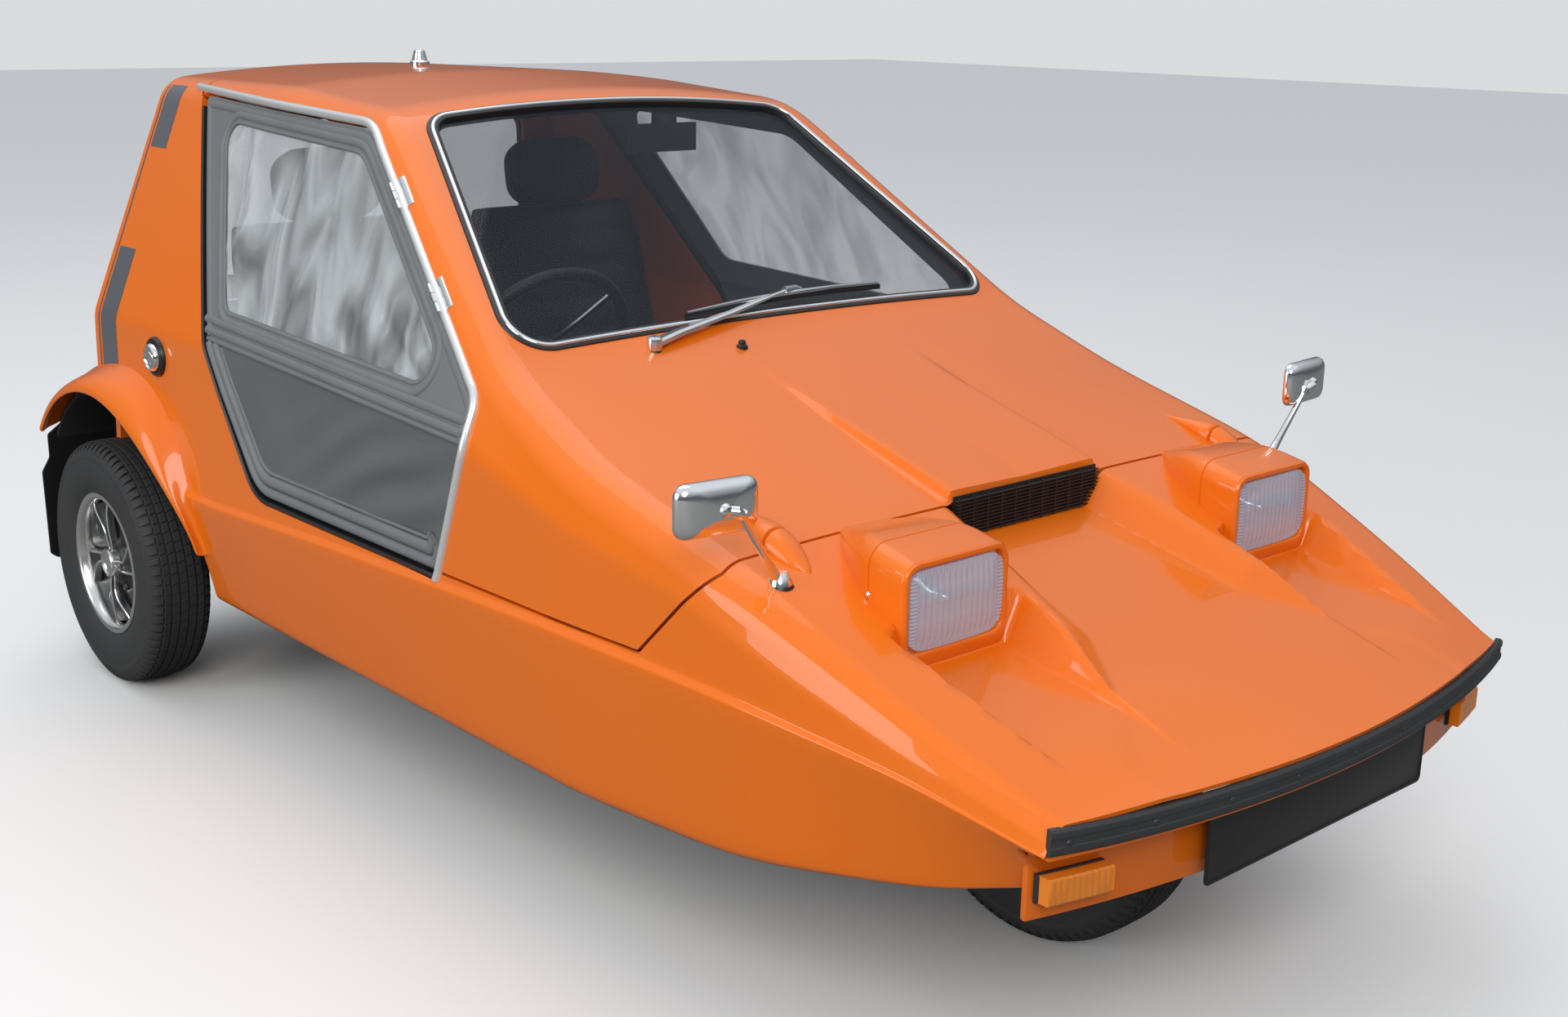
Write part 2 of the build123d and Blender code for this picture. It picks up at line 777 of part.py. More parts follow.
# Mirrors on stalks from the nose's shoulders
mirror_foot = (551.0, 522.0, 668.0)
mirror_top = (632.0, 514.0, 778.0)
mirror_head = (652.0, 528.0, 786.0)
mirror_stalk = 5.5
with BuildPart() as mirrors:
    for side in (-1, 1):
        foot = Vector(side * mirror_foot[0], at(mirror_foot[1]), mirror_foot[2])
        top = Vector(side * mirror_top[0], at(mirror_top[1]), mirror_top[2])
        head = (side * mirror_head[0], at(mirror_head[1] - 12), mirror_head[2])
        with BuildSketch(Plane(origin=foot, z_dir=(0, 0, 1))):
            Circle(16)
        extrude(amount=26, taper=18)
        with BuildSketch(Plane(origin=foot + Vector(0, 0, 14), z_dir=top - foot)):
            Circle(mirror_stalk)
        extrude(amount=(top - foot).length)
        with BuildSketch(Plane(origin=head, x_dir=(1, 0, 0), z_dir=(0, 1, 0))):
            RectangleRounded(150, 92, 22)
        extrude(amount=24)
    add(outer, mode=Mode.SUBTRACT)
save(mirrors.part, "mirrors")

# Roof knob, wiper with washer jet, cabin mirror and fuel cap
knob_station = 2281.0
with BuildPart() as roof_knob:
    with BuildSketch(Plane.XY.offset(1248)):
        with Locations((0, at(knob_station))):
            Circle(17)
    extrude(amount=36, taper=12)
    add(outer, mode=Mode.SUBTRACT)
save(roof_knob.part, "roof_knob")

wiper_pivot = (-305.0, 1100.0)
wiper_pivot_top = 866.0
wiper_elbow = (40.0, 1160.0, 917.0)
blade_ends = [(-200.0, 1148.0, 901.0), (250.0, 1162.0, 910.0)]
washer = (-150.0, 1068.0)
with BuildPart() as wiper:
    with BuildSketch(Plane.XY.offset(780)):
        with Locations((wiper_pivot[0], at(wiper_pivot[1]))):
            Circle(13)
    extrude(amount=wiper_pivot_top + 6 - 780)
    pivot_top = (wiper_pivot[0], at(wiper_pivot[1]), wiper_pivot_top)
    elbow = (wiper_elbow[0], at(wiper_elbow[1]), wiper_elbow[2])
    add(rod(pivot_top, elbow, 12, 6))
    low_end, high_end = [(x, at(s), z) for x, s, z in blade_ends]
    add(rod(low_end, high_end, 8, 15))
    with BuildSketch(Plane.XY.offset(780)):
        with Locations((washer[0], at(washer[1]))):
            Circle(8)
    extrude(amount=68)
    add(outer, mode=Mode.SUBTRACT)
save(wiper.part, "wiper")

mirror_base = (138.0, 1636.0)
with BuildPart() as cabin_mirror:
    with BuildSketch(Plane.XY.offset(1166)):
        with Locations((mirror_base[0], at(mirror_base[1]))):
            Circle(24)
    extrude(amount=60)
    add(rod((mirror_base[0], at(mirror_base[1]), 1180), (112, at(1616), 1142), 10, 10))
    add(block((30, at(1608), 1118), (194, at(1622), 1170)))
    add(shell, mode=Mode.SUBTRACT)
    add(block((-far, at(1500), 1150), (far, at(1700), 1400)) - outer, mode=Mode.SUBTRACT)
save(cabin_mirror.part, "cabin_mirror")

filler_station = 2232.0
filler_z = 716.0
with BuildPart() as fuel_cap:
    with BuildSketch(Plane.YZ.offset(-660)):
        with Locations((at(filler_station), filler_z)):
            Circle(38)
    extrude(amount=30)
    with BuildSketch(Plane.YZ.offset(-660)):
        with Locations((at(filler_station), filler_z)):
            Circle(29)
    extrude(amount=-14, taper=12)
    add(outer, mode=Mode.SUBTRACT)
save(fuel_cap.part, "fuel_cap")

# Wheels
wheel_bore = 17.0


def tyre_form(middle_x, station):
    profile = [(50, 140), (50, 150), (63, 178), (tyre_width / 2, 205), (60, 236), (47, 251), (30, tyre_radius)]
    with BuildPart() as tyre:
        with BuildSketch(Plane.XZ):
            with BuildLine():
                Polyline(
                    *[(middle_x + x, r) for x, r in profile],
                    *[(middle_x - x, r) for x, r in reversed(profile)],
                    close=True,
                )
            make_face()
        revolve(axis=Axis.X)
    return tyre.part.moved(Location((0, at(station), axle_z)))


spoke_count = 4
rib_width = 6.0
rib_inner = (46.0, 9.0)  # radius and angle from the spoke's middle, at the hub
rib_middle = (88.0, 7.0)
rib_outer = (131.0, 19.0)
rib_swirl = 16.0  # how far a spoke's outer end is turned from its inner end, in degrees
vent = (17.0, 13.0)
vent_radius = 108.0
disc_low = 18.0
disc_high = 28.0
rib_high = 38.0
rim_profile = [
    (-50, 134),
    (-56, 134),
    (-56, 148),
    (-50, 148),
    (-50, 140),
    (50, 140),
    (50, 148),
    (56, 148),
    (56, 134),
    (40, 128),
    (-40, 128),
]


def rib_points(angle, edge):
    points = []
    for (radius, spread), share in ((rib_inner, 0), (rib_middle, 0.15), (rib_outer, 1)):
        turn = radians(angle + edge * spread + rib_swirl * share)
        points.append((radius * cos(turn), radius * sin(turn)))
    return points


def rim_form(middle_x, outward, station, bore_length):
    with BuildPart() as rim:
        with BuildSketch(Plane.XZ):
            with BuildLine():
                Polyline(*rim_profile, close=True)
            make_face()
        revolve(axis=Axis.X)
        with BuildSketch(Plane.YZ.offset(disc_low)):
            Circle(132)
            with PolarLocations(vent_radius, spoke_count, 45):
                Rectangle(*vent, mode=Mode.SUBTRACT)
        extrude(amount=disc_high - disc_low)
        with BuildSketch(Plane.YZ.offset(disc_low + 2)):
            for spoke in range(spoke_count):
                for edge in (-1, 1):
                    with BuildLine():
                        ThreePointArc(*rib_points(spoke * 360 / spoke_count, edge))
                    trace(line_width=rib_width)
        extrude(amount=rib_high - disc_low - 2)
        with BuildSketch(Plane.YZ.offset(-8)):
            Circle(hub_radius)
        extrude(amount=52)
        with BuildSketch(Plane.YZ.offset(-8)):
            Circle(wheel_bore + bore_clearance)
        extrude(amount=bore_length, mode=Mode.SUBTRACT)
    placed = rim.part if outward > 0 else rim.part.rotate(Axis.Z, 180)
    return placed.moved(Location((middle_x, at(station), axle_z)))


for name, middle_x, outward, station, bore_length in (
    ("front", 0.0, 1, front_axle_station, 60),
    ("rear_left", rear_track / 2, 1, rear_axle_station, 40),
    ("rear_right", -rear_track / 2, -1, rear_axle_station, 40),
):
    save(tyre_form(middle_x, station), f"tyre_{name}")
    save(rim_form(middle_x, outward, station, bore_length), f"rim_{name}")

# Rear axle with drums and stub shafts, and the mudflaps behind the wheels
drum_radius = 108.0
differential_radius = 88.0
axle_tube_radius = 30.0
spring_radius = 38.0
rail_x = 235.0
rail_low_rear = 330.0
with BuildPart() as rear_axle:
    add(cross_bar(-570, 570, rear_axle_station, axle_z, axle_tube_radius))
    add(cross_bar(-640, 640, rear_axle_station, axle_z, wheel_bore))
    for side in (-1, 1):
        low, high = sorted((side * (rear_track / 2 - 48), side * (rear_track / 2 - 14)))
        add(cross_bar(low, high, rear_axle_station, axle_z, drum_radius))
        with BuildSketch(Plane.XY.offset(axle_z)):
            with Locations((side * rail_x, at(rear_axle_station))):
                Circle(spring_radius)
        extrude(amount=rail_low_rear - axle_z)
    with Locations((0, at(rear_axle_station), axle_z)):
        Sphere(differential_radius)
save(rear_axle.part, "rear_axle")

flap_sheet = 5.0
mudflap_station = 2723.0
mudflap_inner = 566.0
mudflap_outer = 690.0
with BuildPart() as mudflaps:
    for side in (-1, 1):
        low, high = sorted((side * mudflap_inner, side * mudflap_outer))
        add(block((low, at(mudflap_station), 205), (high, at(mudflap_station + flap_sheet), 530)))
    add(tail_body.part, mode=Mode.SUBTRACT)
save(mudflaps.part, "mudflaps")

# Front fork: crown, legs and axle. Its kingpin turns in a bar across the chassis
kingpin_radius = 16.0
with BuildPart() as front_fork:
    add(block((-98, at(front_axle_station - 30), 516), (98, at(front_axle_station + 30), 544)))
    for side in (-1, 1):
        low, high = sorted((side * 76, side * 98))
        add(block((low, at(front_axle_station - 22), axle_z), (high, at(front_axle_station + 22), 530)))
        add(cross_bar(low, high, front_axle_station, axle_z, 34))
    add(cross_bar(-98, 98, front_axle_station, axle_z, wheel_bore))
    with BuildSketch(Plane.XY.offset(540)):
        with Locations((0, at(front_axle_station))):
            Circle(kingpin_radius)
    extrude(amount=30)
save(front_fork.part, "front_fork")

# Chassis: two rails with cross members, kicked up over the rear axle
rail_width = 44.0
rail_profile = [
    (440, 202),
    (2165, 202),
    (2262, rail_low_rear),
    (2590, rail_low_rear),
    (2590, 386),
    (2230, 386),
    (2156, 250),
    (440, 250),
]
# Lashing eyes: a tab at each rail's front end, and a bore through each rail ahead of the rear wheels
eye_radius = 9.0
eye_wall = 8.0
eye_reach = 16.0
front_eye_station = 422.0
front_eye_z = 228.0
rear_eye_station = 2080.0
rear_eye_z = 226.0
with BuildPart() as chassis_frame:
    for side in (-1, 1):
        low_x, high_x = side * rail_x - rail_width / 2, side * rail_x + rail_width / 2
        add(side_prism(rail_profile, [4] * 8, low_x=low_x, high_x=high_x))
        add(block((low_x, at(front_axle_station - 18), 240), (high_x, at(front_axle_station + 18), 572)))
        low_x = side * rail_x - eye_wall / 2
        low = (low_x, at(front_eye_station - eye_reach), front_eye_z - 20)
        add(block(low, (low_x + eye_wall, at(front_eye_station + 2 * eye_reach), front_eye_z + 20)))
    low = (-rail_x - rail_width / 2, at(front_axle_station - 24), 547)
    add(block(low, (rail_x + rail_width / 2, at(front_axle_station + 24), 572)))
    for station in (800, 1300, 1800):
        add(block((-rail_x, at(station - 25), 204), (rail_x, at(station + 25), 248)))
    with BuildSketch(Plane.XY.offset(500)):
        with Locations((0, at(front_axle_station))):
            Circle(kingpin_radius + bore_clearance)
    extrude(amount=200, mode=Mode.SUBTRACT)
    for side in (-1, 1):
        for station, eye_z in ((front_eye_station, front_eye_z), (rear_eye_station, rear_eye_z)):
            low_x, high_x = side * rail_x - rail_width, side * rail_x + rail_width
            add(cross_bar(low_x, high_x, station, eye_z, eye_radius), mode=Mode.SUBTRACT)
save(chassis_frame.part, "chassis_frame")

# Cabin: engine under its cover and bulkhead, dash, column and seats
floor_top = 280.0
with BuildPart() as engine_block:
    add(block((-165, at(830), 270), (165, at(1170), 600)))
    add(tub.part, mode=Mode.SUBTRACT)
save(engine_block.part, "engine_block")

cover_half = 200.0
with BuildPart() as engine_cover:
    add(block((-574, at(791), 270), (574, at(803), 520)))
    add(block((-556, at(791), 520), (556, at(803), 640)))
    add(block((-cover_half, at(791), 270), (cover_half, at(1200), 650)))
    add(block((-cover_half + 12, at(803), 260), (cover_half - 12, at(1188), 638)), mode=Mode.SUBTRACT)
    add(tub.part, mode=Mode.SUBTRACT)
save(engine_cover.part, "engine_cover")

dash_rear = 1292.0
with BuildPart() as dash_panel:
    add(block((-550, at(1200), 668), (550, at(dash_rear), 790)))
    add(block((-150, at(1200), floor_top), (150, at(1262), 668)))

column_tilt = 28.0
wheel_x = -300.0
wheel_station = 1432.0
wheel_z = 800.0
steer_plane = Plane(
    origin=(wheel_x, at(wheel_station), wheel_z),
    x_dir=(1, 0, 0),
    z_dir=(0, cos(radians(column_tilt)), sin(radians(column_tilt))),
)
column_reach = 150.0
with BuildPart() as steering_column:
    with BuildSketch(steer_plane.offset(-30)):
        Circle(22)
    extrude(amount=-column_reach - 60)
    with BuildSketch(steer_plane.offset(-32)):
        Circle(9)
    extrude(amount=28)
    add(block((-600, at(1000), 600), (600, at(1250), 900)), mode=Mode.SUBTRACT)
with BuildPart() as dash_and_column:
    add(dash_panel.part)
    add(steering_column.part)
save(dash_and_column.part, "dash_and_column")

rim_ring = 172.0
with BuildPart() as steering_wheel:
    with BuildSketch(steer_plane.offset(-22)):
        Circle(38)
        Circle(9 + bore_clearance, mode=Mode.SUBTRACT)
    extrude(amount=30)
    with BuildSketch(steer_plane.offset(8)):
        Circle(38)
    extrude(amount=12)
    with BuildSketch(steer_plane.offset(-4)):
        with PolarLocations(0, 4, 45):
            with Locations((rim_ring / 2 + 15, 0)):
                Rectangle(rim_ring - 34, 8)
    extrude(amount=8)
    ring_start = steer_plane.origin + steer_plane.x_dir * rim_ring
    with BuildSketch(Plane(origin=ring_start, x_dir=steer_plane.x_dir, z_dir=steer_plane.y_dir)):
        Circle(11)
    revolve(axis=Axis(steer_plane.origin, steer_plane.z_dir))
save(steering_wheel.part, "steering_wheel")

seat_x = 272.0
seat_half = 215.0
squab = [(1990, 420), (2100, 400), (2235, 940), (2150, 965)]
cushion = [(1560, floor_top), (2090, floor_top), (2090, 430), (1560, 470)]
headrest = [(2150, 930), (2225, 930), (2262, 1090), (2185, 1100)]
headrest_half = 120.0
with BuildPart() as seats:
    for side in (-1, 1):
        low_x, high_x = side * seat_x - seat_half, side * seat_x + seat_half
        add(side_prism(cushion, [20, 20, 20, 50], low_x=low_x, high_x=high_x))
        add(side_prism(squab, [20, 30, 40, 40], low_x=low_x, high_x=high_x))
        low_x, high_x = side * seat_x - headrest_half, side * seat_x + headrest_half
        add(side_prism(headrest, [15, 15, 28, 28], low_x=low_x, high_x=high_x))
save(seats.part, "seats")

# Rear end: bumper, lamps, plate and silencer
with BuildPart() as rear_bumper:
    add(block((-560, at(shelf_rear), 345), (560, at(length - bumper_proud), 395)))
save(rear_bumper.part, "rear_bumper")

lamp_inner = 442.0
lamp_outer = 512.0
tail_lamp_low = 492.0
tail_lamp_high = 628.0
tail_lamp_proud = 32.0
with BuildPart() as tail_lamps:
    with BuildSketch(Plane.XZ.offset(-at(tail_recess_station))):
        for side in (-1, 1):
            with Locations((side * (lamp_inner + lamp_outer) / 2, (tail_lamp_low + tail_lamp_high) / 2)):
                RectangleRounded(lamp_outer - lamp_inner, tail_lamp_high - tail_lamp_low, 10)
    extrude(amount=-tail_lamp_proud)
    fillet(tail_lamps.faces().sort_by(Axis.Y)[-2:].edges(), 5)
save(tail_lamps.part, "tail_lamps")

rear_plate_low = 540.0
with BuildPart() as rear_plate:
    low = (-plate_width / 2, at(tail_recess_station), rear_plate_low)
    add(block(low, (plate_width / 2, at(tail_recess_station + 5), rear_plate_low + plate_height)))
save(rear_plate.part, "rear_plate")

silencer_station = 2655.0
silencer_z = 238.0
silencer_radius = 55.0
with BuildPart() as silencer:
    add(cross_bar(-420, -120, silencer_station, silencer_z, silencer_radius))
    add(block((-300, at(silencer_station - 15), 285), (-240, at(silencer_station + 15), 300)))
save(silencer.part, "silencer")
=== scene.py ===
import math

import bmesh
import bpy
import numpy as np
from mathutils import Matrix, Vector


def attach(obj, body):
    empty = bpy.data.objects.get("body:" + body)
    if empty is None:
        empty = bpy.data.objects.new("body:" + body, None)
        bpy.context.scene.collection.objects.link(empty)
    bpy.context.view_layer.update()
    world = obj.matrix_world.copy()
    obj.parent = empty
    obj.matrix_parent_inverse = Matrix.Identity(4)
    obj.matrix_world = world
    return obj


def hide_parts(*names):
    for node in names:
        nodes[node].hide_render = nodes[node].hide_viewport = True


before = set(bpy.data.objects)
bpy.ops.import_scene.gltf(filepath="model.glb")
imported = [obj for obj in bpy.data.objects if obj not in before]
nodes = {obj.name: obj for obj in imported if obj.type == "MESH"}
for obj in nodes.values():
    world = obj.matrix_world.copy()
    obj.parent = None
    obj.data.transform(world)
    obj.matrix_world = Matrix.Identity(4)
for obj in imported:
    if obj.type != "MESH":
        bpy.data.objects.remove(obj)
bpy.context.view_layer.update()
print("frame loaded")

# Small helpers for objects, node trees and materials


def newObject(name, data):
    made = bpy.data.objects.new(name, data)
    bpy.context.scene.collection.objects.link(made)
    return made


def addNode(tree, kind, values=None, **settings):
    node = tree.nodes.new(kind)
    for name, value in settings.items():
        setattr(node, name, value)
    for label, value in (values or {}).items():
        node.inputs[label].default_value = value
    return node


def wire(tree, *links):
    # Each link is a node and its output, then a node and its input
    for source, output, target, entry in links:
        tree.links.new(source.outputs[output], target.inputs[entry])


def newMaterial(name, values):
    material = bpy.data.materials.new(name)
    material.use_nodes = True
    shader = material.node_tree.nodes["Principled BSDF"]
    for label, value in values.items():
        shader.inputs[label].default_value = value
    return material, material.node_tree, shader


# Camera, lamps and floor

shot = {
    "place": (-2.0886, -2.5698, 1.4028),
    "yaw": 42.162,
    "pitch": 15.426,
    "roll": 0.984,
    "focal": 2269.26,  # in pixels, for a picture of this width
    "pictureWidth": 1920,
    "sensor": 36.0,
}


def placeCamera():
    data = bpy.data.cameras.new("camera")
    data.sensor_width = shot["sensor"]
    data.lens = shot["focal"] / shot["pictureWidth"] * shot["sensor"]
    yaw, pitch, roll = (math.radians(shot[key]) for key in ("yaw", "pitch", "roll"))
    level = math.cos(pitch)
    ahead = Vector((math.sin(yaw) * level, math.cos(yaw) * level, -math.sin(pitch)))
    right = ahead.cross(Vector((0, 0, 1))).normalized()
    up = right.cross(ahead)
    tiltedRight = right * math.cos(roll) + up * math.sin(roll)
    tiltedUp = up * math.cos(roll) - right * math.sin(roll)
    turn = Matrix((tiltedRight, tiltedUp, -ahead)).transposed()
    camera = newObject("camera", data)
    camera.matrix_world = Matrix.Translation(shot["place"]) @ turn.to_4x4()
    bpy.context.scene.camera = camera


studio = {
    "skyHeight": (0.12, 0.75),  # where the sky's light starts to rise, and where it is full
    "skyLight": (0.12, 0.85),
    "skyColour": (0.90, 0.94, 1.0),
    "backColour": (0.70, 0.71, 0.72),
    "floorColour": (0.86, 0.86, 0.85),
    "floorShade": (0.20, 0.20, 0.19),  # what the floor throws back on the car
    "floorSize": 60.0,
    "aim": (0, 0, 0.5),
    # name, place, size, power, colour
    "lamps": [
        ("keyLamp", (-4.6, -5.4, 4.6), 4.0, 270, (1.0, 0.97, 0.93)),
        ("sideLamp", (-8.0, 1.0, 2.6), 5.0, 250, (0.96, 0.98, 1.0)),
        ("roofLamp", (0.5, 2.5, 7.5), 6.0, 90, (1.0, 1.0, 1.0)),
    ],
}


def lightStudio():
    world = bpy.data.worlds.new("studio")
    world.use_nodes = True
    bpy.context.scene.world = world
    tree = world.node_tree
    tree.nodes.clear()
    low, high = studio["skyHeight"]
    dim, bright = studio["skyLight"]
    rises = {"From Min": low, "From Max": high, "To Min": dim, "To Max": bright}
    sky = addNode(tree, "ShaderNodeBackground", {"Color": (*studio["skyColour"], 1)})
    back = addNode(tree, "ShaderNodeBackground", {"Color": (*studio["backColour"], 1)})
    direction = addNode(tree, "ShaderNodeTexCoord")
    parts = addNode(tree, "ShaderNodeSeparateXYZ")
    rise = addNode(tree, "ShaderNodeMapRange", rises)
    path = addNode(tree, "ShaderNodeLightPath")
    blend = addNode(tree, "ShaderNodeMixShader")
    out = addNode(tree, "ShaderNodeOutputWorld")
    wire(
        tree,
        (direction, "Generated", parts, 0),
        (parts, "Z", rise, "Value"),
        (rise, "Result", sky, "Strength"),
        (path, "Is Camera Ray", blend, "Fac"),
        (sky, 0, blend, 1),
        (back, 0, blend, 2),
        (blend, 0, out, "Surface"),
    )
    for name, place, size, power, colour in studio["lamps"]:
        data = bpy.data.lights.new(name, "AREA")
        data.shape = "DISK"
        data.size = size
        data.energy = power
        data.color = colour
        lamp = newObject(name, data)
        lamp.location = place
        lamp.rotation_mode = "QUATERNION"
        aim = Vector(studio["aim"]) - lamp.location
        lamp.rotation_quaternion = aim.to_track_quat("-Z", "Y")


def makeFloor():
    half = studio["floorSize"] / 2
    corners = [(-half, -half, 0), (half, -half, 0), (half, half, 0), (-half, half, 0)]
    mesh = bpy.data.meshes.new("studioFloor")
    mesh.from_pydata(corners, [], [(0, 1, 2, 3)])
    material, tree, shader = newMaterial("floorPaper", {"Roughness": 0.85})
    path = addNode(tree, "ShaderNodeLightPath")
    colours = {"A": (*studio["floorShade"], 1), "B": (*studio["floorColour"], 1)}
    blend = addNode(tree, "ShaderNodeMix", colours, data_type="RGBA")
    wire(tree, (path, "Is Camera Ray", blend, "Factor"), (blend, "Result", shader, "Base Color"))
    mesh.materials.append(material)
    newObject("studioFloor", mesh)


# Finishes


def makeGrainGroup():
    # Fine grain for moulded surfaces, and slow patches for uneven colour and gloss
    tree = bpy.data.node_groups.new("surfaceGrain", "ShaderNodeTree")
    kind = "NodeSocketFloat"
    for label, value in (("Grain Size", 400.0), ("Patch Size", 6.0)):
        tree.interface.new_socket(label, in_out="INPUT", socket_type=kind).default_value = value
    for label in ("Grain", "Patches"):
        tree.interface.new_socket(label, in_out="OUTPUT", socket_type=kind)
    entry, end = addNode(tree, "NodeGroupInput"), addNode(tree, "NodeGroupOutput")
    place = addNode(tree, "ShaderNodeTexCoord")
    for label, size, detail in (("Grain", "Grain Size", 3.0), ("Patches", "Patch Size", 2.0)):
        noise = addNode(tree, "ShaderNodeTexNoise", {"Detail": detail})
        wire(tree, (place, "Object", noise, "Vector"), (entry, size, noise, "Scale"))
        wire(tree, (noise, "Fac", end, label))
    return tree


grainGroup = makeGrainGroup()
plainFinish = {
    "metallic": 0.0,
    "coat": 0.0,
    "specular": 0.5,
    "grain": 0.0,
    "grainSize": 400.0,
    "darker": 0.12,  # how much darker the slow patches are
    "patchSize": 6.0,
    "gloss": 0.06,  # how far the roughness goes up and down
}


def newFinish(name, colour, roughness, **changes):
    look = {**plainFinish, **changes}
    values = {
        "Metallic": look["metallic"],
        "Coat Weight": look["coat"],
        "Coat Roughness": 0.03,
        "Specular IOR Level": look["specular"],
    }
    material, tree, shader = newMaterial(name, values)
    sizes = {"Grain Size": look["grainSize"], "Patch Size": look["patchSize"]}
    texture = addNode(tree, "ShaderNodeGroup", sizes, node_tree=grainGroup)
    colours = {"A": (*colour, 1), "B": (*[c * (1 - look["darker"]) for c in colour], 1)}
    tint = addNode(tree, "ShaderNodeMix", colours, data_type="RGBA")
    reach = {"To Min": max(roughness - look["gloss"], 0.0), "To Max": roughness + look["gloss"]}
    rough = addNode(tree, "ShaderNodeMapRange", reach)
    wire(
        tree,
        (texture, "Patches", tint, "Factor"),
        (tint, "Result", shader, "Base Color"),
        (texture, "Patches", rough, "Value"),
        (rough, "Result", shader, "Roughness"),
    )
    if look["grain"]:
        bump = addNode(tree, "ShaderNodeBump", {"Strength": look["grain"], "Distance": 0.001})
        wire(tree, (texture, "Grain", bump, "Height"), (bump, "Normal", shader, "Normal"))
    return material


def newPane(name, colour, alpha, roughness, coat):
    # Thin glass or a pressed lens: mostly seen through, with a bright surface; on the lamp lens its pale blue
    # colour is painted sky reflection
    values = {"Base Color": (*colour, 1), "Roughness": roughness, "Coat Weight": coat, "Alpha": alpha}
    return newMaterial(name, values)[0]


def newFilm(name, thin, thick):
    # Clear flexible film, creased where it is pulled by its corners; its alpha goes from thin to thick with
    # the creases, and where it is less clear its pale colour shows as streaks, partly the film's own haze and
    # partly painted sky reflection
    values = {"Roughness": 0.08, "Base Color": (0.62, 0.65, 0.67, 1), "Coat Weight": 0.6}
    material, tree, shader = newMaterial(name, values)
    clearness = {"From Min": 0.35, "From Max": 0.7, "To Min": thin, "To Max": thick}
    place = addNode(tree, "ShaderNodeTexCoord")
    turn = addNode(tree, "ShaderNodeMapping", {"Rotation": (0.9, 0.0, 0.0), "Scale": (1.0, 1.0, 0.32)})
    crease = addNode(tree, "ShaderNodeTexNoise", {"Scale": 9.0, "Detail": 1.5, "Distortion": 1.2})
    bump = addNode(tree, "ShaderNodeBump", {"Strength": 0.9, "Distance": 0.03})
    clear = addNode(tree, "ShaderNodeMapRange", clearness)
    wire(
        tree,
        (place, "Object", turn, "Vector"),
        (turn, "Vector", crease, "Vector"),
        (crease, "Fac", bump, "Height"),
        (crease, "Fac", clear, "Value"),
        (clear, "Result", shader, "Alpha"),
        (bump, "Normal", shader, "Normal"),
    )
    return material


# name in the material list, colour, roughness, and what differs from a plain finish
finishTable = {
    "paint": ("orangePaint", (0.84, 0.170, 0.006), 0.30,
              {"coat": 0.6, "specular": 0.2, "darker": 0.05, "patchSize": 2.0, "gloss": 0.03}),
    "innerPaint": ("orangeInside", (0.60, 0.105, 0.008), 0.45, {"darker": 0.15, "patchSize": 5.0}),
    "lining": ("darkLining", (0.03, 0.03, 0.032), 0.75, {"grain": 0.4}),
    "steel": ("blackSteel", (0.035, 0.035, 0.038), 0.42, {"grain": 0.15, "grainSize": 250}),
    "rubber": ("blackRubber", (0.035, 0.036, 0.038), 0.62, {"grain": 0.3, "grainSize": 700}),
    "softRubber": ("sealRubber", (0.012, 0.012, 0.013), 0.38, {"grain": 0.1}),
    "tyre": ("tyreRubber", (0.035, 0.035, 0.036), 0.72, {"grain": 0.35, "grainSize": 500, "darker": 0.3}),
    "blackPlastic": ("blackPlastic", (0.018, 0.018, 0.02), 0.45, {"grain": 0.3, "grainSize": 900}),
    "chrome": ("chrome", (0.86, 0.87, 0.88), 0.06, {"metallic": 1.0, "gloss": 0.02, "darker": 0.03}),
    "brightTrim": ("brightTrim", (0.82, 0.83, 0.84), 0.16, {"metallic": 1.0, "gloss": 0.04, "darker": 0.05}),
    "alloy": ("polishedAlloy", (0.78, 0.78, 0.78), 0.22, {"metallic": 1.0}),
    "rimBlack": ("rimBlack", (0.012, 0.012, 0.013), 0.34, {"grain": 0.12}),
    "vinyl": ("greyVinyl", (0.180, 0.192, 0.198), 0.50,
              {"grain": 0.55, "grainSize": 650, "darker": 0.22, "patchSize": 9.0}),
    "vinylDark": ("greyVinylShade", (0.125, 0.134, 0.138), 0.52,
                  {"grain": 0.6, "grainSize": 650, "darker": 0.2}),
    "reflector": ("lampReflector", (0.93, 0.94, 0.96), 0.17,
                  {"metallic": 1.0, "gloss": 0.04, "darker": 0.02}),
    "satinTrim": ("satinTrim", (0.80, 0.80, 0.80), 0.24,
                  {"metallic": 0.55, "coat": 0.3, "gloss": 0.05, "darker": 0.05}),
    "seatVinyl": ("blackVinyl", (0.014, 0.015, 0.020), 0.42, {"grain": 0.08, "grainSize": 1100}),
    "plate": ("blackPlate", (0.012, 0.012, 0.013), 0.30, {"grain": 0.05}),
    "stripe": ("greyStripe", (0.105, 0.11, 0.125), 0.34, {"coat": 0.4, "darker": 0.1}),
    "amber": ("amberLens", (0.86, 0.24, 0.012), 0.18, {"coat": 0.8, "grain": 0.2, "grainSize": 160}),
    "red": ("redLens", (0.50, 0.012, 0.012), 0.18, {"coat": 0.8}),
}
finish = {key: newFinish(*row, **changes) for key, (*row, changes) in finishTable.items()}
finish["glass"] = newPane("darkGlass", (0.020, 0.030, 0.045), 0.20, 0.03, 0.0)
# The lamp lens's pale blue colour, seen where it is not clear, is a painted sky reflection over clear glass
finish["lampGlassPaintedSkySheen"] = newPane("lampGlassPaintedSkySheen", (0.60, 0.74, 0.92), 0.44, 0.12, 0.5)
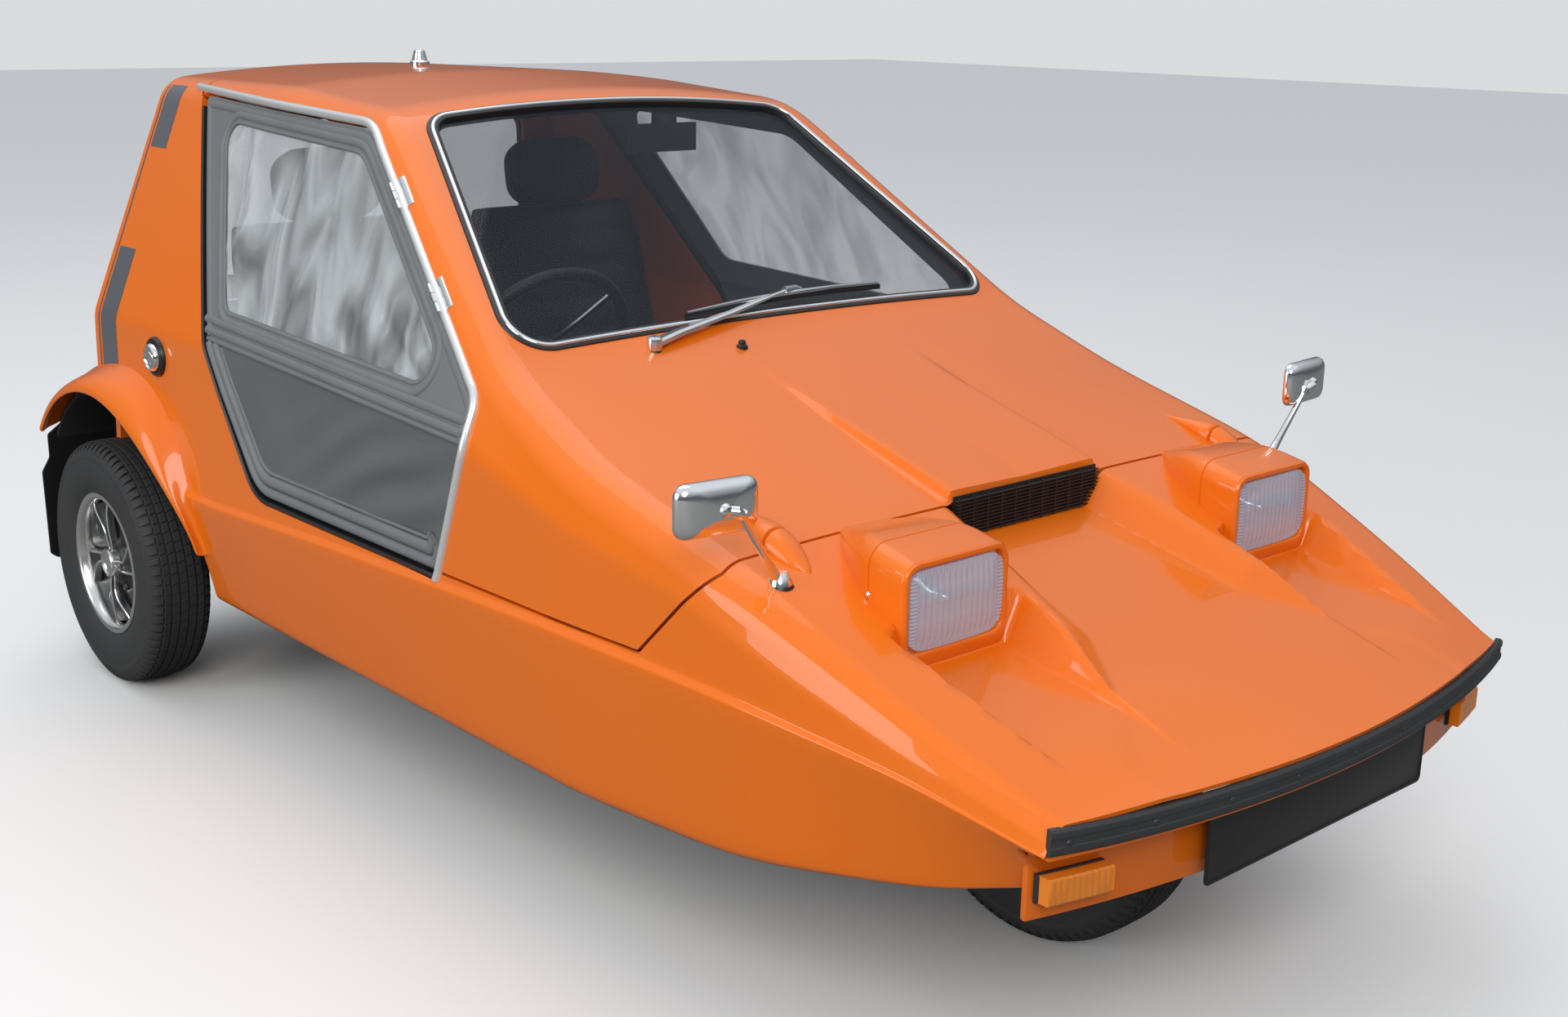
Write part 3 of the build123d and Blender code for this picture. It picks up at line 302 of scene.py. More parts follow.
# The near film's pale streaks are strong painted sky reflection; the left film, seen against the light, gets
# fainter painted streaks
finish["film"] = newFilm("clearFilm", 0.17, 0.70)
finish["filmFaintSheen"] = newFilm("clearFilmLeftFaintSheen", 0.10, 0.34)

# Building tools. Sizes are millimetres, and a station is the distance behind the painted nose edge.

noseY = -1389.0
sides = ((-1, "right"), (1, "left"))


def framePoint(place, side=1):
    x, station, z = place
    return (side * x, station + noseY, z)


def inFrame(x, station, z):
    return (x / 1000, (station + noseY) / 1000, z / 1000)


def ringAt(station, loop):
    # A loop of (x, z) stood across the car
    return [inFrame(x, station, z) for x, z in loop]


def addPiece(name, mesh, body, slotName, *replaced):
    piece = newObject(name, mesh)
    if replaced:
        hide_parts(*replaced)
    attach(piece, body)
    return piece


def smoothMesh(mesh, angle=35.0):
    mesh.shade_smooth()
    mesh.set_sharp_from_angle(angle=math.radians(angle))
    return mesh


def pieceMesh(parts, look, angle=35.0):
    # One mesh from a list of (vertices, faces), merged and with its faces outwards
    vertices, faces = [], []
    for partVertices, partFaces in parts:
        start = len(vertices)
        vertices.extend(tuple(v) for v in partVertices)
        faces.extend(tuple(i + start for i in face) for face in partFaces)
    mesh = bpy.data.meshes.new(look)
    mesh.from_pydata(vertices, [], faces)
    mesh.materials.append(finish[look])
    work = bmesh.new()
    work.from_mesh(mesh)
    bmesh.ops.remove_doubles(work, verts=work.verts, dist=1e-6)
    bmesh.ops.recalc_face_normals(work, faces=work.faces)
    work.to_mesh(mesh)
    work.free()
    return smoothMesh(mesh, angle)


def mergedMesh(meshes, look):
    whole = bmesh.new()
    for part in meshes:
        whole.from_mesh(part)
    mesh = meshFrom(whole)
    mesh.materials.append(finish[look])
    return smoothMesh(mesh, 38)


def meshFrom(work):
    mesh = bpy.data.meshes.new("piece")
    work.to_mesh(mesh)
    work.free()
    return mesh


def withModifier(mesh, kind, settings, inputs=None):
    # Runs a modifier on a copy of the mesh and gives the plain result
    holder = newObject("holder", mesh)
    modifier = holder.modifiers.new("shape", kind)
    for name, value in settings.items():
        setattr(modifier, name, value)
    for identifier, value in (inputs or {}).items():
        modifier[identifier] = value
    bpy.context.view_layer.update()
    graph = bpy.context.evaluated_depsgraph_get()
    result = bpy.data.meshes.new_from_object(holder.evaluated_get(graph))
    bpy.data.objects.remove(holder)
    return result


def thickened(mesh, wall, *looks):
    # Gives a skin its wall, with the second look on the inside
    mesh.materials.clear()
    for look in looks:
        mesh.materials.append(finish[look])
    settings = {
        "thickness": wall / 1000,
        "offset": -1.0,
        "material_offset": len(looks) - 1,
    }
    return smoothMesh(withModifier(mesh, "SOLIDIFY", settings), 32)


def bevelled(mesh, width, segments=3):
    settings = {
        "width": width / 1000,
        "segments": segments,
        "limit_method": "ANGLE",
        "angle_limit": math.radians(30),
    }
    return smoothMesh(withModifier(mesh, "BEVEL", settings))


def ringsToPart(rings, loop=False):
    # Skins a run of rings, which is closed at its ends or joined in a loop
    size = len(rings[0])
    vertices = [v for ring in rings for v in ring]
    faces = []
    for i in range(len(rings) if loop else len(rings) - 1):
        a, b = i * size, (i + 1) % len(rings) * size
        faces += [(a + k, a + (k + 1) % size, b + (k + 1) % size, b + k) for k in range(size)]
    if not loop:
        faces += [tuple(range(size)), tuple(range(len(vertices) - 1, len(vertices) - size - 1, -1))]
    return vertices, faces


def gridFaces(columns, rows, start=0):
    wide = columns + 1
    corners = [start + j * wide + i for j in range(rows) for i in range(columns)]
    return [(a, a + 1, a + wide + 1, a + wide) for a in corners]


def boxPart(low, high):
    (x0, y0, z0), (x1, y1, z1) = low, high
    return ringsToPart([[(x0, y0, z), (x1, y0, z), (x1, y1, z), (x0, y1, z)] for z in (z0, z1)])


def prism(outline, low, high):
    # An outline of (station, z) pushed from one x to another
    return ringsToPart([[inFrame(x, *place) for place in outline] for x in (low, high)])


def crossPrism(outline, low, high):
    # An outline of (x, z) pushed from one station to another
    return ringsToPart([ringAt(station, outline) for station in (low, high)])


def unit(ways):
    return ways / np.linalg.norm(ways, axis=-1, keepdims=True)


def turnsRound(count):
    return np.linspace(0, 2 * math.pi, count, endpoint=False)


def onCircle(radius, turn):
    return radius * math.cos(turn), radius * math.sin(turn)


def revolve(profile, around, axis="X", centre=(0, 0, 0)):
    # A closed profile of (along the axis, radius) turned round an axis through a centre
    rings = []
    for turn in turnsRound(around):
        ring = []
        for along, radius in profile:
            a, b = onCircle(radius, turn)
            spot = {"X": (along, a, b), "Y": (b, along, a), "Z": (a, b, along)}[axis]
            ring.append(tuple((c + s) / 1000 for c, s in zip(centre, spot)))
        rings.append(ring)
    return ringsToPart(rings, loop=True)


def sweep(path, outs, profile, closed=True, scales=(1, 1)):
    # Sweeps a profile of (sideways, outwards) along a path on a surface, scaled at each point
    path = np.array(path, float)
    along = np.roll(path, -1, axis=0) - np.roll(path, 1, axis=0) if closed else np.gradient(path, axis=0)
    across = unit(np.cross(unit(along), outs))
    ups = np.cross(across, unit(along))
    wide, tall = (np.broadcast_to(scale, len(path))[:, None] / 1000 for scale in scales)
    rows = [path + across * wide * u + ups * tall * v for u, v in profile]
    return ringsToPart(list(zip(*rows)), loop=closed)


def taperRod(points, radii, around=14):
    # A round rod through points in the frame's millimetres, with a radius at each
    circle = [onCircle(1, turn) for turn in turnsRound(around)]
    return sweep(np.array(points) / 1000, (0.31, 0.2, 0.93), circle, False, (radii, radii))


def flatBar(rows):
    # A flat bar through rows of x, station, z, width across and height
    points = np.array([framePoint(row[:3]) for row in rows]) / 1000
    *_, wide, tall = np.array(rows, float).T
    section = [(-0.5, -0.5), (0.5, -0.5), (0.5, 0.15), (0.3, 0.5), (-0.3, 0.5), (-0.5, 0.15)]
    return sweep(points, (0, 0, 1), section, False, (wide, tall))


def beadProfile(half, height, sink, count=8):
    # A low rounded bead that stands on a surface
    turns = np.linspace(0, math.pi, count + 1)
    arc = [(half * math.cos(turn), height * math.sin(turn)) for turn in turns]
    return arc + [(-half, -sink), (half, -sink)]


def cornerArc(before, corner, after, radius, count=None, turn=9.0):
    # Points on the arc that rounds a corner; without a count, about one for each turn in degrees
    before, corner, after = (np.array(p, float) for p in (before, corner, after))
    a, b = unit(before - corner), unit(after - corner)
    half = math.acos(max(-1, min(1, float(a @ b)))) / 2
    if half > math.pi / 2 - 0.01:  # as good as straight
        return [corner] * (count or 1)
    angle = math.pi - 2 * half
    count = count or max(2, int(math.degrees(angle) / turn) + 1) + 1
    centre = corner + unit(a + b) * radius / math.sin(half)
    run = radius / math.tan(half)
    first, last = corner + a * run - centre, corner + b * run - centre
    shares = np.linspace(0, 1, count)
    ways = [first * math.sin((1 - t) * angle) + last * math.sin(t * angle) for t in shares]
    return [centre + way / math.sin(angle) for way in ways]


def roundLoop(points, radii, closed=True, spacing=None, turn=9.0):
    # Rounds an outline's corners with arcs, and divides its runs where a spacing is given
    corners = [np.array(p, float) for p in points]
    count = len(corners)
    if not hasattr(radii, "__len__"):
        radii = [radii] * count
    loop = []
    for i, (corner, radius) in enumerate(zip(corners, radii)):
        if radius <= 0 or (not closed and i in (0, count - 1)):
            loop.append(corner)
        else:
            loop += cornerArc(corners[i - 1], corner, corners[(i + 1) % count], radius, turn=turn)
    if spacing is None:
        return np.array(loop)
    dense = []
    for i in range(len(loop) if closed else len(loop) - 1):
        start, end = loop[i], loop[(i + 1) % len(loop)]
        pieces = max(1, int(np.linalg.norm(end - start) / spacing))
        dense.extend(start + (end - start) * k / pieces for k in range(pieces))
    if not closed:
        dense.append(loop[-1])
    return np.array(dense)


def insetLoop(points, distance, closed=True):
    # The same corners on lines moved inwards, or to the right of an open run
    loop = np.array(points, float)
    x, y = loop.T
    after = unit(np.roll(loop, -1, axis=0) - loop)
    before = np.roll(after, 1, axis=0)
    inward = 1 if np.sum(x * np.roll(y, -1) - np.roll(x, -1) * y) > 0 else -1
    if not closed:
        before[0], after[-1], inward = after[0], before[-1], -1
    a, b = (inward * np.stack([-way[:, 1], way[:, 0]], axis=1) for way in (before, after))
    return loop + (a + b) / (1 + np.sum(a * b, axis=1, keepdims=True)) * distance


def roundedRectangle(half, low, high, corner, centreX, count=8):
    corner = min(corner, half - 0.5, (high - low) / 2 - 0.5)
    loop = []
    for cx, cz, start in ((1, 1, 0), (-1, 1, 90), (-1, -1, 180), (1, -1, 270)):
        for turn in np.radians(np.linspace(start, start + 90, count)):
            x = centreX + cx * (half - corner) + corner * math.cos(turn)
            z = (low if cz < 0 else high) - cz * corner + corner * math.sin(turn)
            loop.append((x, z))
    return loop


def insideLoop(points, loop):
    inside = np.zeros(len(points), bool)
    x, y = points[:, 0], points[:, 1]
    for (x1, y1), (x2, y2) in zip(loop, np.roll(loop, -1, axis=0)):
        if y1 == y2:
            continue
        crossing = (y1 > y) != (y2 > y)
        inside ^= crossing & (x < (x2 - x1) * (y - y1) / (y2 - y1) + x1)
    return inside


def trimSkin(skin, loop, axes, keepInside, where=None):
    # Cuts a skin along an outline seen along one axis, and drops one side of it
    first, second = axes
    loop = np.array(loop, float)
    starts, ends = loop, np.roll(loop, -1, axis=0)
    faces = list(skin.faces)
    centres = [f.calc_center_bounds() for f in faces]
    middles = np.array(centres)[:, [first, second]]
    reach = np.array([max((v.co - c).length for v in f.verts) for f, c in zip(faces, centres)])
    near = np.zeros(len(faces), bool)
    for p, q in zip(starts, ends):
        line = q - p
        share = np.clip(((middles - p) @ line) / (line @ line), 0, 1)
        near |= np.linalg.norm(middles - p - share[:, None] * line, axis=1) < reach + 1e-4
    pool = {f for f, isNear in zip(faces, near) if isNear}
    for p, q in zip(starts, ends):
        line = q - p
        length = np.linalg.norm(line)
        if length < 1e-7:
            continue
        low, high = np.minimum(p, q) - 2e-4, np.maximum(p, q) + 2e-4
        picked = []
        for f in pool:
            a = [v.co[first] for v in f.verts]
            b = [v.co[second] for v in f.verts]
            if max(a) >= low[0] and min(a) <= high[0] and max(b) >= low[1] and min(b) <= high[1]:
                picked.append(f)
        if not picked:
            continue
        normal, place = Vector((0, 0, 0)), Vector((0, 0, 0))
        normal[first], normal[second] = -line[1] / length, line[0] / length
        place[first], place[second] = p
        geometry = set(picked)
        for f in picked:
            geometry.update(f.edges)
            geometry.update(f.verts)
        cut = bmesh.ops.bisect_plane(skin, geom=list(geometry), dist=1e-6, plane_co=place, plane_no=normal)
        pool.update(g for g in cut["geom"] if isinstance(g, bmesh.types.BMFace))
        pool = {f for f in pool if f.is_valid}
    faces = list(skin.faces)
    middles = np.array([f.calc_center_median()[:] for f in faces])
    drop = insideLoop(middles[:, [first, second]], loop) != keepInside
    if where is not None:
        drop &= where(middles)
    bmesh.ops.delete(skin, geom=[f for f, gone in zip(faces, drop) if gone], context="FACES")


# The body's skin, from the same sections as its moulded shells

bodyForm = {
    # station, sill x and z, belt x and z, waist x and z, roof edge x and z, crown z, corner scale
    "rows": (
        (-30, 452, 402, 516, 428, 508, 444, 494, 462, 478, 0.10),
        (70, 470, 385, 530, 436, 523, 452, 507, 475, 500, 0.20),
        (260, 530, 325, 585, 490, 578, 520, 560, 555, 584, 0.45),
        (500, 580, 280, 625, 515, 620, 590, 606, 662, 682, 0.80),
        (590, 592, 268, 634, 520, 628, 630, 612, 694, 714, 0.90),
        (900, 607, 250, 646, 520, 640, 680, 618, 770, 802, 1),
        (1124, 607, 250, 646, 512, 638, 745, 590, 860, 872, 1),
        (1624, 607, 250, 646, 488, 630, 765, 470, 1200, 1232, 1),
        (2000, 607, 250, 646, 466, 630, 765, 462, 1225, 1257, 1),
        (2525, 607, 250, 646, 463, 630, 765, 445, 1222, 1250, 1),
    ),
    # station, and how far the sections are softened either side of it
    "softening": ((-30, 8), (70, 40), (300, 110), (900, 110), (1124, 90), (1624, 80), (2346, 60), (2525, 10)),
    "turnUnder": 70,
    "ledge": 10,
    # radius of each corner from the sill up, points on it, and pieces of the run before it
    "corners": ((25, 6, 2), (6, 4, 12), (6, 4, 1), (90, 8, 8), (70, 12, 16)),
}
bonnetBulge = {
    "lift": 17,
    "half": 160,
    "edge": 12,
    "starts": (440, 575),
    "fades": (640, 1040),
    "baseDrop": 16,  # how far the bonnet sinks beside the bulge
    "baseStarts": (250, 570),
    "baseHalf": 640,
}
noseValley = {
    "floor": ((95, 506), (600, 650)),
    "half": ((95, 330), (200, 250), (313, 172), (600, 132)),
    "steep": ((95, 0.2), (200, 0.35), (313, 0.75), (450, 1.1), (600, 1.4)),
    "noseSlope": 0.285,
    "end": 584,
    "soft": 16,
}
lampChannel = {
    "floor": ((80, 504), (385, 560)),
    "inner": ((80, 257), (385, 262)),
    "outer": ((80, 434), (385, 452)),
    "noseSlope": 0.18,
    "steep": 2,
    "rampStart": 388,
    "rampSteep": 5,
    "end": 430,
    "soft": 11,
}
rowTable = np.array(bodyForm["rows"], float)


def smoothStep(low, high, value):
    share = np.clip((value - low) / (high - low), 0, 1)
    return share * share * (3 - 2 * share)


def softMin(a, b, reach):
    share = np.clip(0.5 + 0.5 * (b - a) / reach, 0, 1)
    return b * (1 - share) + a * share - reach * share * (1 - share)


def rowAt(station):
    # The table's row at a station, as a mean over its softening reach
    reach = np.interp(station, *zip(*bodyForm["softening"]))
    shares = np.linspace(-1, 1, 15)
    weights = 1.02 - np.abs(shares)
    rows = [np.interp(station + shares * reach, rowTable[:, 0], column) for column in rowTable.T[1:]]
    return np.array(rows) @ weights / weights.sum()


def valuesAt(station, form, *keys):
    return [np.interp(station, *zip(*form[key])) for key in keys]


def topShape(x, station, z):
    # Adds the bonnet's bulge, the nose's valley and the channels ahead of the lamps
    across = np.abs(x)
    bulge, valley, channel = bonnetBulge, noseValley, lampChannel
    raised = 1 - smoothStep(bulge["half"], bulge["half"] + bulge["edge"], across)
    fade = 1 - smoothStep(*bulge["fades"], station)
    sunk = bulge["baseDrop"] * smoothStep(*bulge["baseStarts"], station) * (1 - across / bulge["baseHalf"])
    shaped = z + fade * (bulge["lift"] * raised * smoothStep(*bulge["starts"], station) - sunk)
    if station < valley["end"]:
        floor, half, steep = valuesAt(station, valley, "floor", "half", "steep")
        floor += min(station - valley["floor"][0][0], 0) * valley["noseSlope"]
        shaped = softMin(shaped, floor + steep * np.maximum(across - half, 0), valley["soft"])
    if station < channel["end"]:
        floor, inner, outer = valuesAt(station, channel, "floor", "inner", "outer")
        floor += min(station - channel["floor"][0][0], 0) * channel["noseSlope"]
        beyond = np.maximum(np.maximum(inner - across, across - outer), 0)
        ramp = channel["rampSteep"] * max(station - channel["rampStart"], 0)
        shaped = softMin(shaped, floor + channel["steep"] * beyond + ramp, channel["soft"])
    return shaped


def halfSection(station, topCount, shaped=True, lines=()):
    # Points (x, z) from under the sill to the middle, and how many are on the side; lines are
    # two places across the top between which the points stand closer
    sillX, sillZ, beltX, beltZ, waistX, waistZ, edgeX, edgeZ, crownZ, scale = rowAt(station)
    step = bodyForm["ledge"] * scale
    rise = crownZ - edgeZ
    points = [
        (sillX - bodyForm["turnUnder"] * scale, sillZ),
        (sillX, sillZ),
        (beltX, beltZ),
        (beltX - step, beltZ + step),
        (waistX, waistZ),
        (edgeX, edgeZ),
        (edgeX - 100, edgeZ + rise * 200 / edgeX),  # on the crown's slope at its edge
    ]
    section = [np.array(points[0])]
    for i, (radius, count, pieces) in enumerate(bodyForm["corners"], 1):
        arc = cornerArc(*points[i - 1 : i + 2], max(radius * scale, 0.8), count)
        start = section[-1]
        section.extend(start + (arc[0] - start) * k / pieces for k in range(1, pieces))
        section.extend(arc)
    sideCount = len(section)
    lastX, lastZ = section[-1]
    shares = [0, 0.1, 0.45, 1] if lines else [0, 1]
    topX = np.interp(np.linspace(0, 1, topCount + 1)[1:], shares, [lastX, *lines, 0])
    topZ = crownZ - rise * (topX / edgeX) ** 2
    topZ += (lastZ - (crownZ - rise * (lastX / edgeX) ** 2)) * topX / lastX
    section = np.concatenate([section, np.stack([topX, topZ], axis=1)])
    if shaped:
        top = section[sideCount - 6 :]
        top[:, 1] = topShape(top[:, 0], station, top[:, 1])
    return section, sideCount


def makeHullTables():
    # The body's half-width by station and height, and its height by station and x
    stations = np.arange(-30, 2530, 5.0)
    heights = np.arange(240, 1240, 2.0)
    widths = np.arange(0, 640, 4.0)
    sideRows, topRows = [], []
    for station in stations:
        section, sideCount = halfSection(station, 60)
        side = section[2:sideCount]
        side = side[np.argsort(side[:, 1])]
        sideRows.append(np.interp(heights, side[:, 1], side[:, 0]))
        top = section[sideCount - 12 :]
        top = top[np.argsort(top[:, 0])]
        topRows.append(np.interp(widths, top[:, 0], top[:, 1]))
    return {
        "sideX": (np.array(sideRows), stations, heights),
        "topZ": (np.array(topRows), stations, widths),
    }


hull = makeHullTables()


def lookUp(key, row, column):
    table, rows, columns = hull[key]
    row = np.clip((np.asarray(row, float) - rows[0]) / (rows[1] - rows[0]), 0, len(rows) - 1.001)
    column = (np.asarray(column, float) - columns[0]) / (columns[1] - columns[0])
    column = np.clip(column, 0, len(columns) - 1.001)
    i, j = row.astype(int), column.astype(int)
    u, v = row - i, column - j
    near = table[i, j] * (1 - v) + table[i, j + 1] * v
    distant = table[i + 1, j] * (1 - v) + table[i + 1, j + 1] * v
    return near * (1 - u) + distant * u


def sideX(station, z):
    return lookUp("sideX", station, z)


def topZ(x, station):
    return lookUp("topZ", station, np.abs(x))


def lifted(path, outs, lift):
    outs = unit(outs)
    return (path + outs * lift) / 1000, outs


def onSide(loop, side, lift=0.0):
    # Places an outline of (station, z) on the body's side, with the outward directions there
    stations, heights = np.array(loop).T
    x = sideX(stations, heights)
    slopeS = (sideX(stations + 6, heights) - sideX(stations - 6, heights)) / 12
    slopeZ = (sideX(stations, heights + 6) - sideX(stations, heights - 6)) / 12
    outs = np.stack([np.full(len(x), float(side)), -slopeS, -slopeZ], axis=1)
    return lifted(np.stack([side * x, stations + noseY, heights], axis=1), outs, lift)


def onTop(loop, lift=0.0):
    # Places an outline of (x, station) on the body's top
    x, stations = np.array(loop).T
    slopeX = (topZ(x + 6, stations) - topZ(x - 6, stations)) / 12
    slopeS = (topZ(x, stations + 6) - topZ(x, stations - 6)) / 12
    outs = np.stack([-slopeX, -slopeS, np.ones(len(x))], axis=1)
    return lifted(np.stack([x, stations + noseY, topZ(x, stations)], axis=1), outs, lift)


def gridSkin(rows):
    # Rows that go up and follow each other rearwards give faces that look to the right
    skin = bmesh.new()
    rows = [[skin.verts.new(place) for place in row] for row in rows]
    for near, distant in zip(rows, rows[1:]):
        for k in range(len(near) - 1):
            skin.faces.new((near[k], near[k + 1], distant[k + 1], distant[k]))
    return skin


def halfSkin(stations, topCount, shaped=True, lines=()):
    # The right half of the body's skin, with its faces outwards
    rows = []
    for station in stations:
        section, _ = halfSection(station, topCount, shaped, lines)
        rows.append(ringAt(station, section * (-1, 1)))
    return gridSkin(rows)


def wholeSkin(skin):
    # Mirrors the right half and joins the two in the middle
    for v in skin.verts:
        if abs(v.co.x) < 2e-4:
            v.co.x = 0.0
    copy = bmesh.ops.duplicate(skin, geom=list(skin.verts) + list(skin.edges) + list(skin.faces))["geom"]
    for v in (g for g in copy if isinstance(g, bmesh.types.BMVert)):
        v.co.x = -v.co.x
    bmesh.ops.reverse_faces(skin, faces=[g for g in copy if isinstance(g, bmesh.types.BMFace)])
    bmesh.ops.remove_doubles(skin, verts=skin.verts, dist=1e-5)
    return meshFrom(skin)


def stationsBetween(low, high, step):
    return np.linspace(low, high, max(2, int(round((high - low) / step)) + 1))


# Seams, in side view, as station and z
seams = {
    "canopy": [
        (578, 1400), (578, 676), (722, 534), (1240, 527), (1300, 600), (2250, 1150), (2346, 1208),
        (2346, 1400),
    ],
    "nose": [(-100, 100), (790, 100), (790, 533), (722, 534), (578, 676), (578, 1000), (-100, 1000)],
    "tub": [(790, 100), (1900, 100), (1900, 600), (1300, 600), (1240, 527), (790, 533)],
    "tail": [(1900, 100), (2600, 100), (2600, 1400), (2346, 1400), (2346, 1208), (2250, 1150), (1900, 600)],
    "gap": 5,
}
screenOpening = {
    "outline": [(1230, 514), (1850, 512), (1985, 690), (2338, 1212), (1652, 1186), (1142, 815), (1140, 740)],
    "corners": [14, 95, 120, 14, 130, 46, 60],
}
windscreenShape = {
    "outline": [(-548, 1134), (548, 1134), (402, 1614), (-402, 1614)],  # x and station
    "corner": 62,
    "lowest": 700,
    "sunk": 4,
    "glass": 5,
}
noseEdge = {"half": 530, "drop": 76, "cutHalf": 570, "undercut": 40, "undercutTop": 438}
archShape = {"station": 2440, "z": 262, "radius": 352}
bodyWall = {"canopy": 24, "tail": 24, "tub": 24, "nose": 6}


def flat(loop):
    # An outline of station and z, seen from the side, in the frame's metres
    return [((s + noseY) / 1000, z / 1000) for s, z in loop]


def fromAbove(loop):
    # The same for an outline of x and station, seen from above
    return [(x / 1000, (s + noseY) / 1000) for x, s in loop]


def noseArcAt(x):
    radius = (noseEdge["half"] ** 2 + noseEdge["drop"] ** 2) / (2 * noseEdge["drop"])
    x = np.minimum(np.abs(x), noseEdge["half"] + 40)
    return radius - np.sqrt(radius**2 - x**2)


def makeNose():
    stations = np.concatenate([stationsBetween(-24, 600, 6), stationsBetween(612, 800, 12)])
    skin = halfSkin(stations, 110, lines=(444.0, 260.0))
    trimSkin(skin, flat(seams["nose"]), (1, 2), True)
    foot = noseEdge["undercutTop"] / 1000
    for behind, where in ((0, None), (noseEdge["undercut"], lambda middles: middles[:, 2] < foot)):
        edge = [(-x, noseArcAt(x) + behind) for x in np.linspace(0, noseEdge["cutHalf"], 24)]
        edge[0] = (20, edge[0][1])
        ahead = [(20, -211), *edge, (-900, edge[-1][1] + 50), (-900, -211)]
        trimSkin(skin, fromAbove(ahead), (0, 1), False, where)
    return thickened(wholeSkin(skin), bodyWall["nose"], "paint")


def openedSkin(stations, topCount, seam, shaped=True):
    # The body's skin inside a seam, less the opening for the side screens
    skin = halfSkin(stations, topCount, shaped)
    trimSkin(skin, flat(seam), (1, 2), True)
    trimSkin(skin, flat(roundLoop(screenOpening["outline"], screenOpening["corners"])), (1, 2), False)
    return skin


def makeCanopy():
    runs = ((560, 1100, 9), (1110, 1700, 10), (1715, 2360, 15))
    stations = np.concatenate([stationsBetween(*run) for run in runs])
    skin = openedSkin(stations, 84, insetLoop(seams["canopy"], seams["gap"]))
    hole = roundLoop(windscreenShape["outline"], windscreenShape["corner"], turn=6)
    lowest = windscreenShape["lowest"] / 1000
    trimSkin(skin, fromAbove(hole), (0, 1), False, where=lambda middles: middles[:, 2] > lowest)
    return thickened(wholeSkin(skin), bodyWall["canopy"], "paint", "innerPaint")


def makeTub():
    skin = openedSkin(stationsBetween(780, 1910, 15), 8, seams["tub"], shaped=False)
    return thickened(wholeSkin(skin), bodyWall["tub"], "paint", "lining")


def archLoop(angles, radius=archShape["radius"]):
    around = [onCircle(radius, turn) for turn in np.radians(angles)]
    return [(archShape["station"] + a, archShape["z"] + b) for a, b in around]


def makeTail():
    skin = openedSkin(stationsBetween(1890, 2525, 12), 24, seams["tail"])
    trimSkin(skin, flat(archLoop(np.arange(0, 360, 5))), (1, 2), False)
    return thickened(wholeSkin(skin), bodyWall["tail"], "paint", "innerPaint")


addPiece("noseSkin", makeNose(), "body", "paint", "nose_body")
print("nose done")
addPiece("canopySkin", makeCanopy(), "canopy", "paint", "canopy_shell")
print("canopy done")
addPiece("tubSkin", makeTub(), "body", "paint", "tub_sides")
addPiece("tailSkin", makeTail(), "body", "paint", "tail_body")
print("tub and tail done")

# Copies round an axis or on points, by Geometry Nodes


def copyTree(name, inputs):
    # A tree that ends in instances made real, with their material
    tree = bpy.data.node_groups.new(name, "GeometryNodeTree")
    tree.interface.new_socket("Geometry", in_out="INPUT", socket_type="NodeSocketGeometry")
    sockets = {}
    for label, kind, value in [*inputs, ("Material", "NodeSocketMaterial", None)]:
        socket = tree.interface.new_socket(label, in_out="INPUT", socket_type=kind)
        if value is not None:
            socket.default_value = value
        sockets[label] = socket.identifier
    tree.interface.new_socket("Geometry", in_out="OUTPUT", socket_type="NodeSocketGeometry")
    entry, end = addNode(tree, "NodeGroupInput"), addNode(tree, "NodeGroupOutput")
    copies = addNode(tree, "GeometryNodeInstanceOnPoints")
    real = addNode(tree, "GeometryNodeRealizeInstances")
    painted = addNode(tree, "GeometryNodeSetMaterial")
    wire(
        tree,
        (copies, 0, real, 0),
        (real, 0, painted, "Geometry"),
        (entry, "Material", painted, "Material"),
        (painted, 0, end, "Geometry"),
    )
    return tree, sockets, entry, copies


def makeRingTree():
    # The incoming mesh is repeated round the X axis
    tree, sockets, entry, copies = copyTree("copiesRoundAxle", [("Count", "NodeSocketInt", 8)])
    points = addNode(tree, "GeometryNodePoints")
    index = addNode(tree, "GeometryNodeInputIndex")
    share = addNode(tree, "ShaderNodeMath", operation="DIVIDE")
    turn = addNode(tree, "ShaderNodeMath", {1: 2 * math.pi}, operation="MULTIPLY")
    angles = addNode(tree, "ShaderNodeCombineXYZ")
    wire(
        tree,
        (entry, "Count", points, "Count"),
        (index, 0, share, 0),
        (entry, "Count", share, 1),
        (share, 0, turn, 0),
        (turn, 0, angles, "X"),
        (points, 0, copies, "Points"),
        (entry, "Geometry", copies, "Instance"),
        (angles, 0, copies, "Rotation"),
    )
    return tree, sockets


def makePointTree():
    # A stud stands on each point of the incoming mesh, turned by the point's own direction
    inputs = [("Stud", "NodeSocketObject", None), ("Size", "NodeSocketFloat", 1.0)]
    tree, sockets, entry, copies = copyTree("studsOnPoints", inputs)
    stud = addNode(tree, "GeometryNodeObjectInfo")
    direction = addNode(
        tree, "GeometryNodeInputNamedAttribute", {"Name": "direction"}, data_type="FLOAT_VECTOR"
    )
    align = addNode(tree, "FunctionNodeAlignRotationToVector", axis="Z")
    wire(
        tree,
        (entry, "Stud", stud, "Object"),
        (entry, "Geometry", copies, "Points"),
        (stud, "Geometry", copies, "Instance"),
        (direction, 0, align, "Vector"),
        (align, 0, copies, "Rotation"),
        (entry, "Size", copies, "Scale"),
    )
    return tree, sockets


ringTree, ringSockets = makeRingTree()
pointTree, pointSockets = makePointTree()


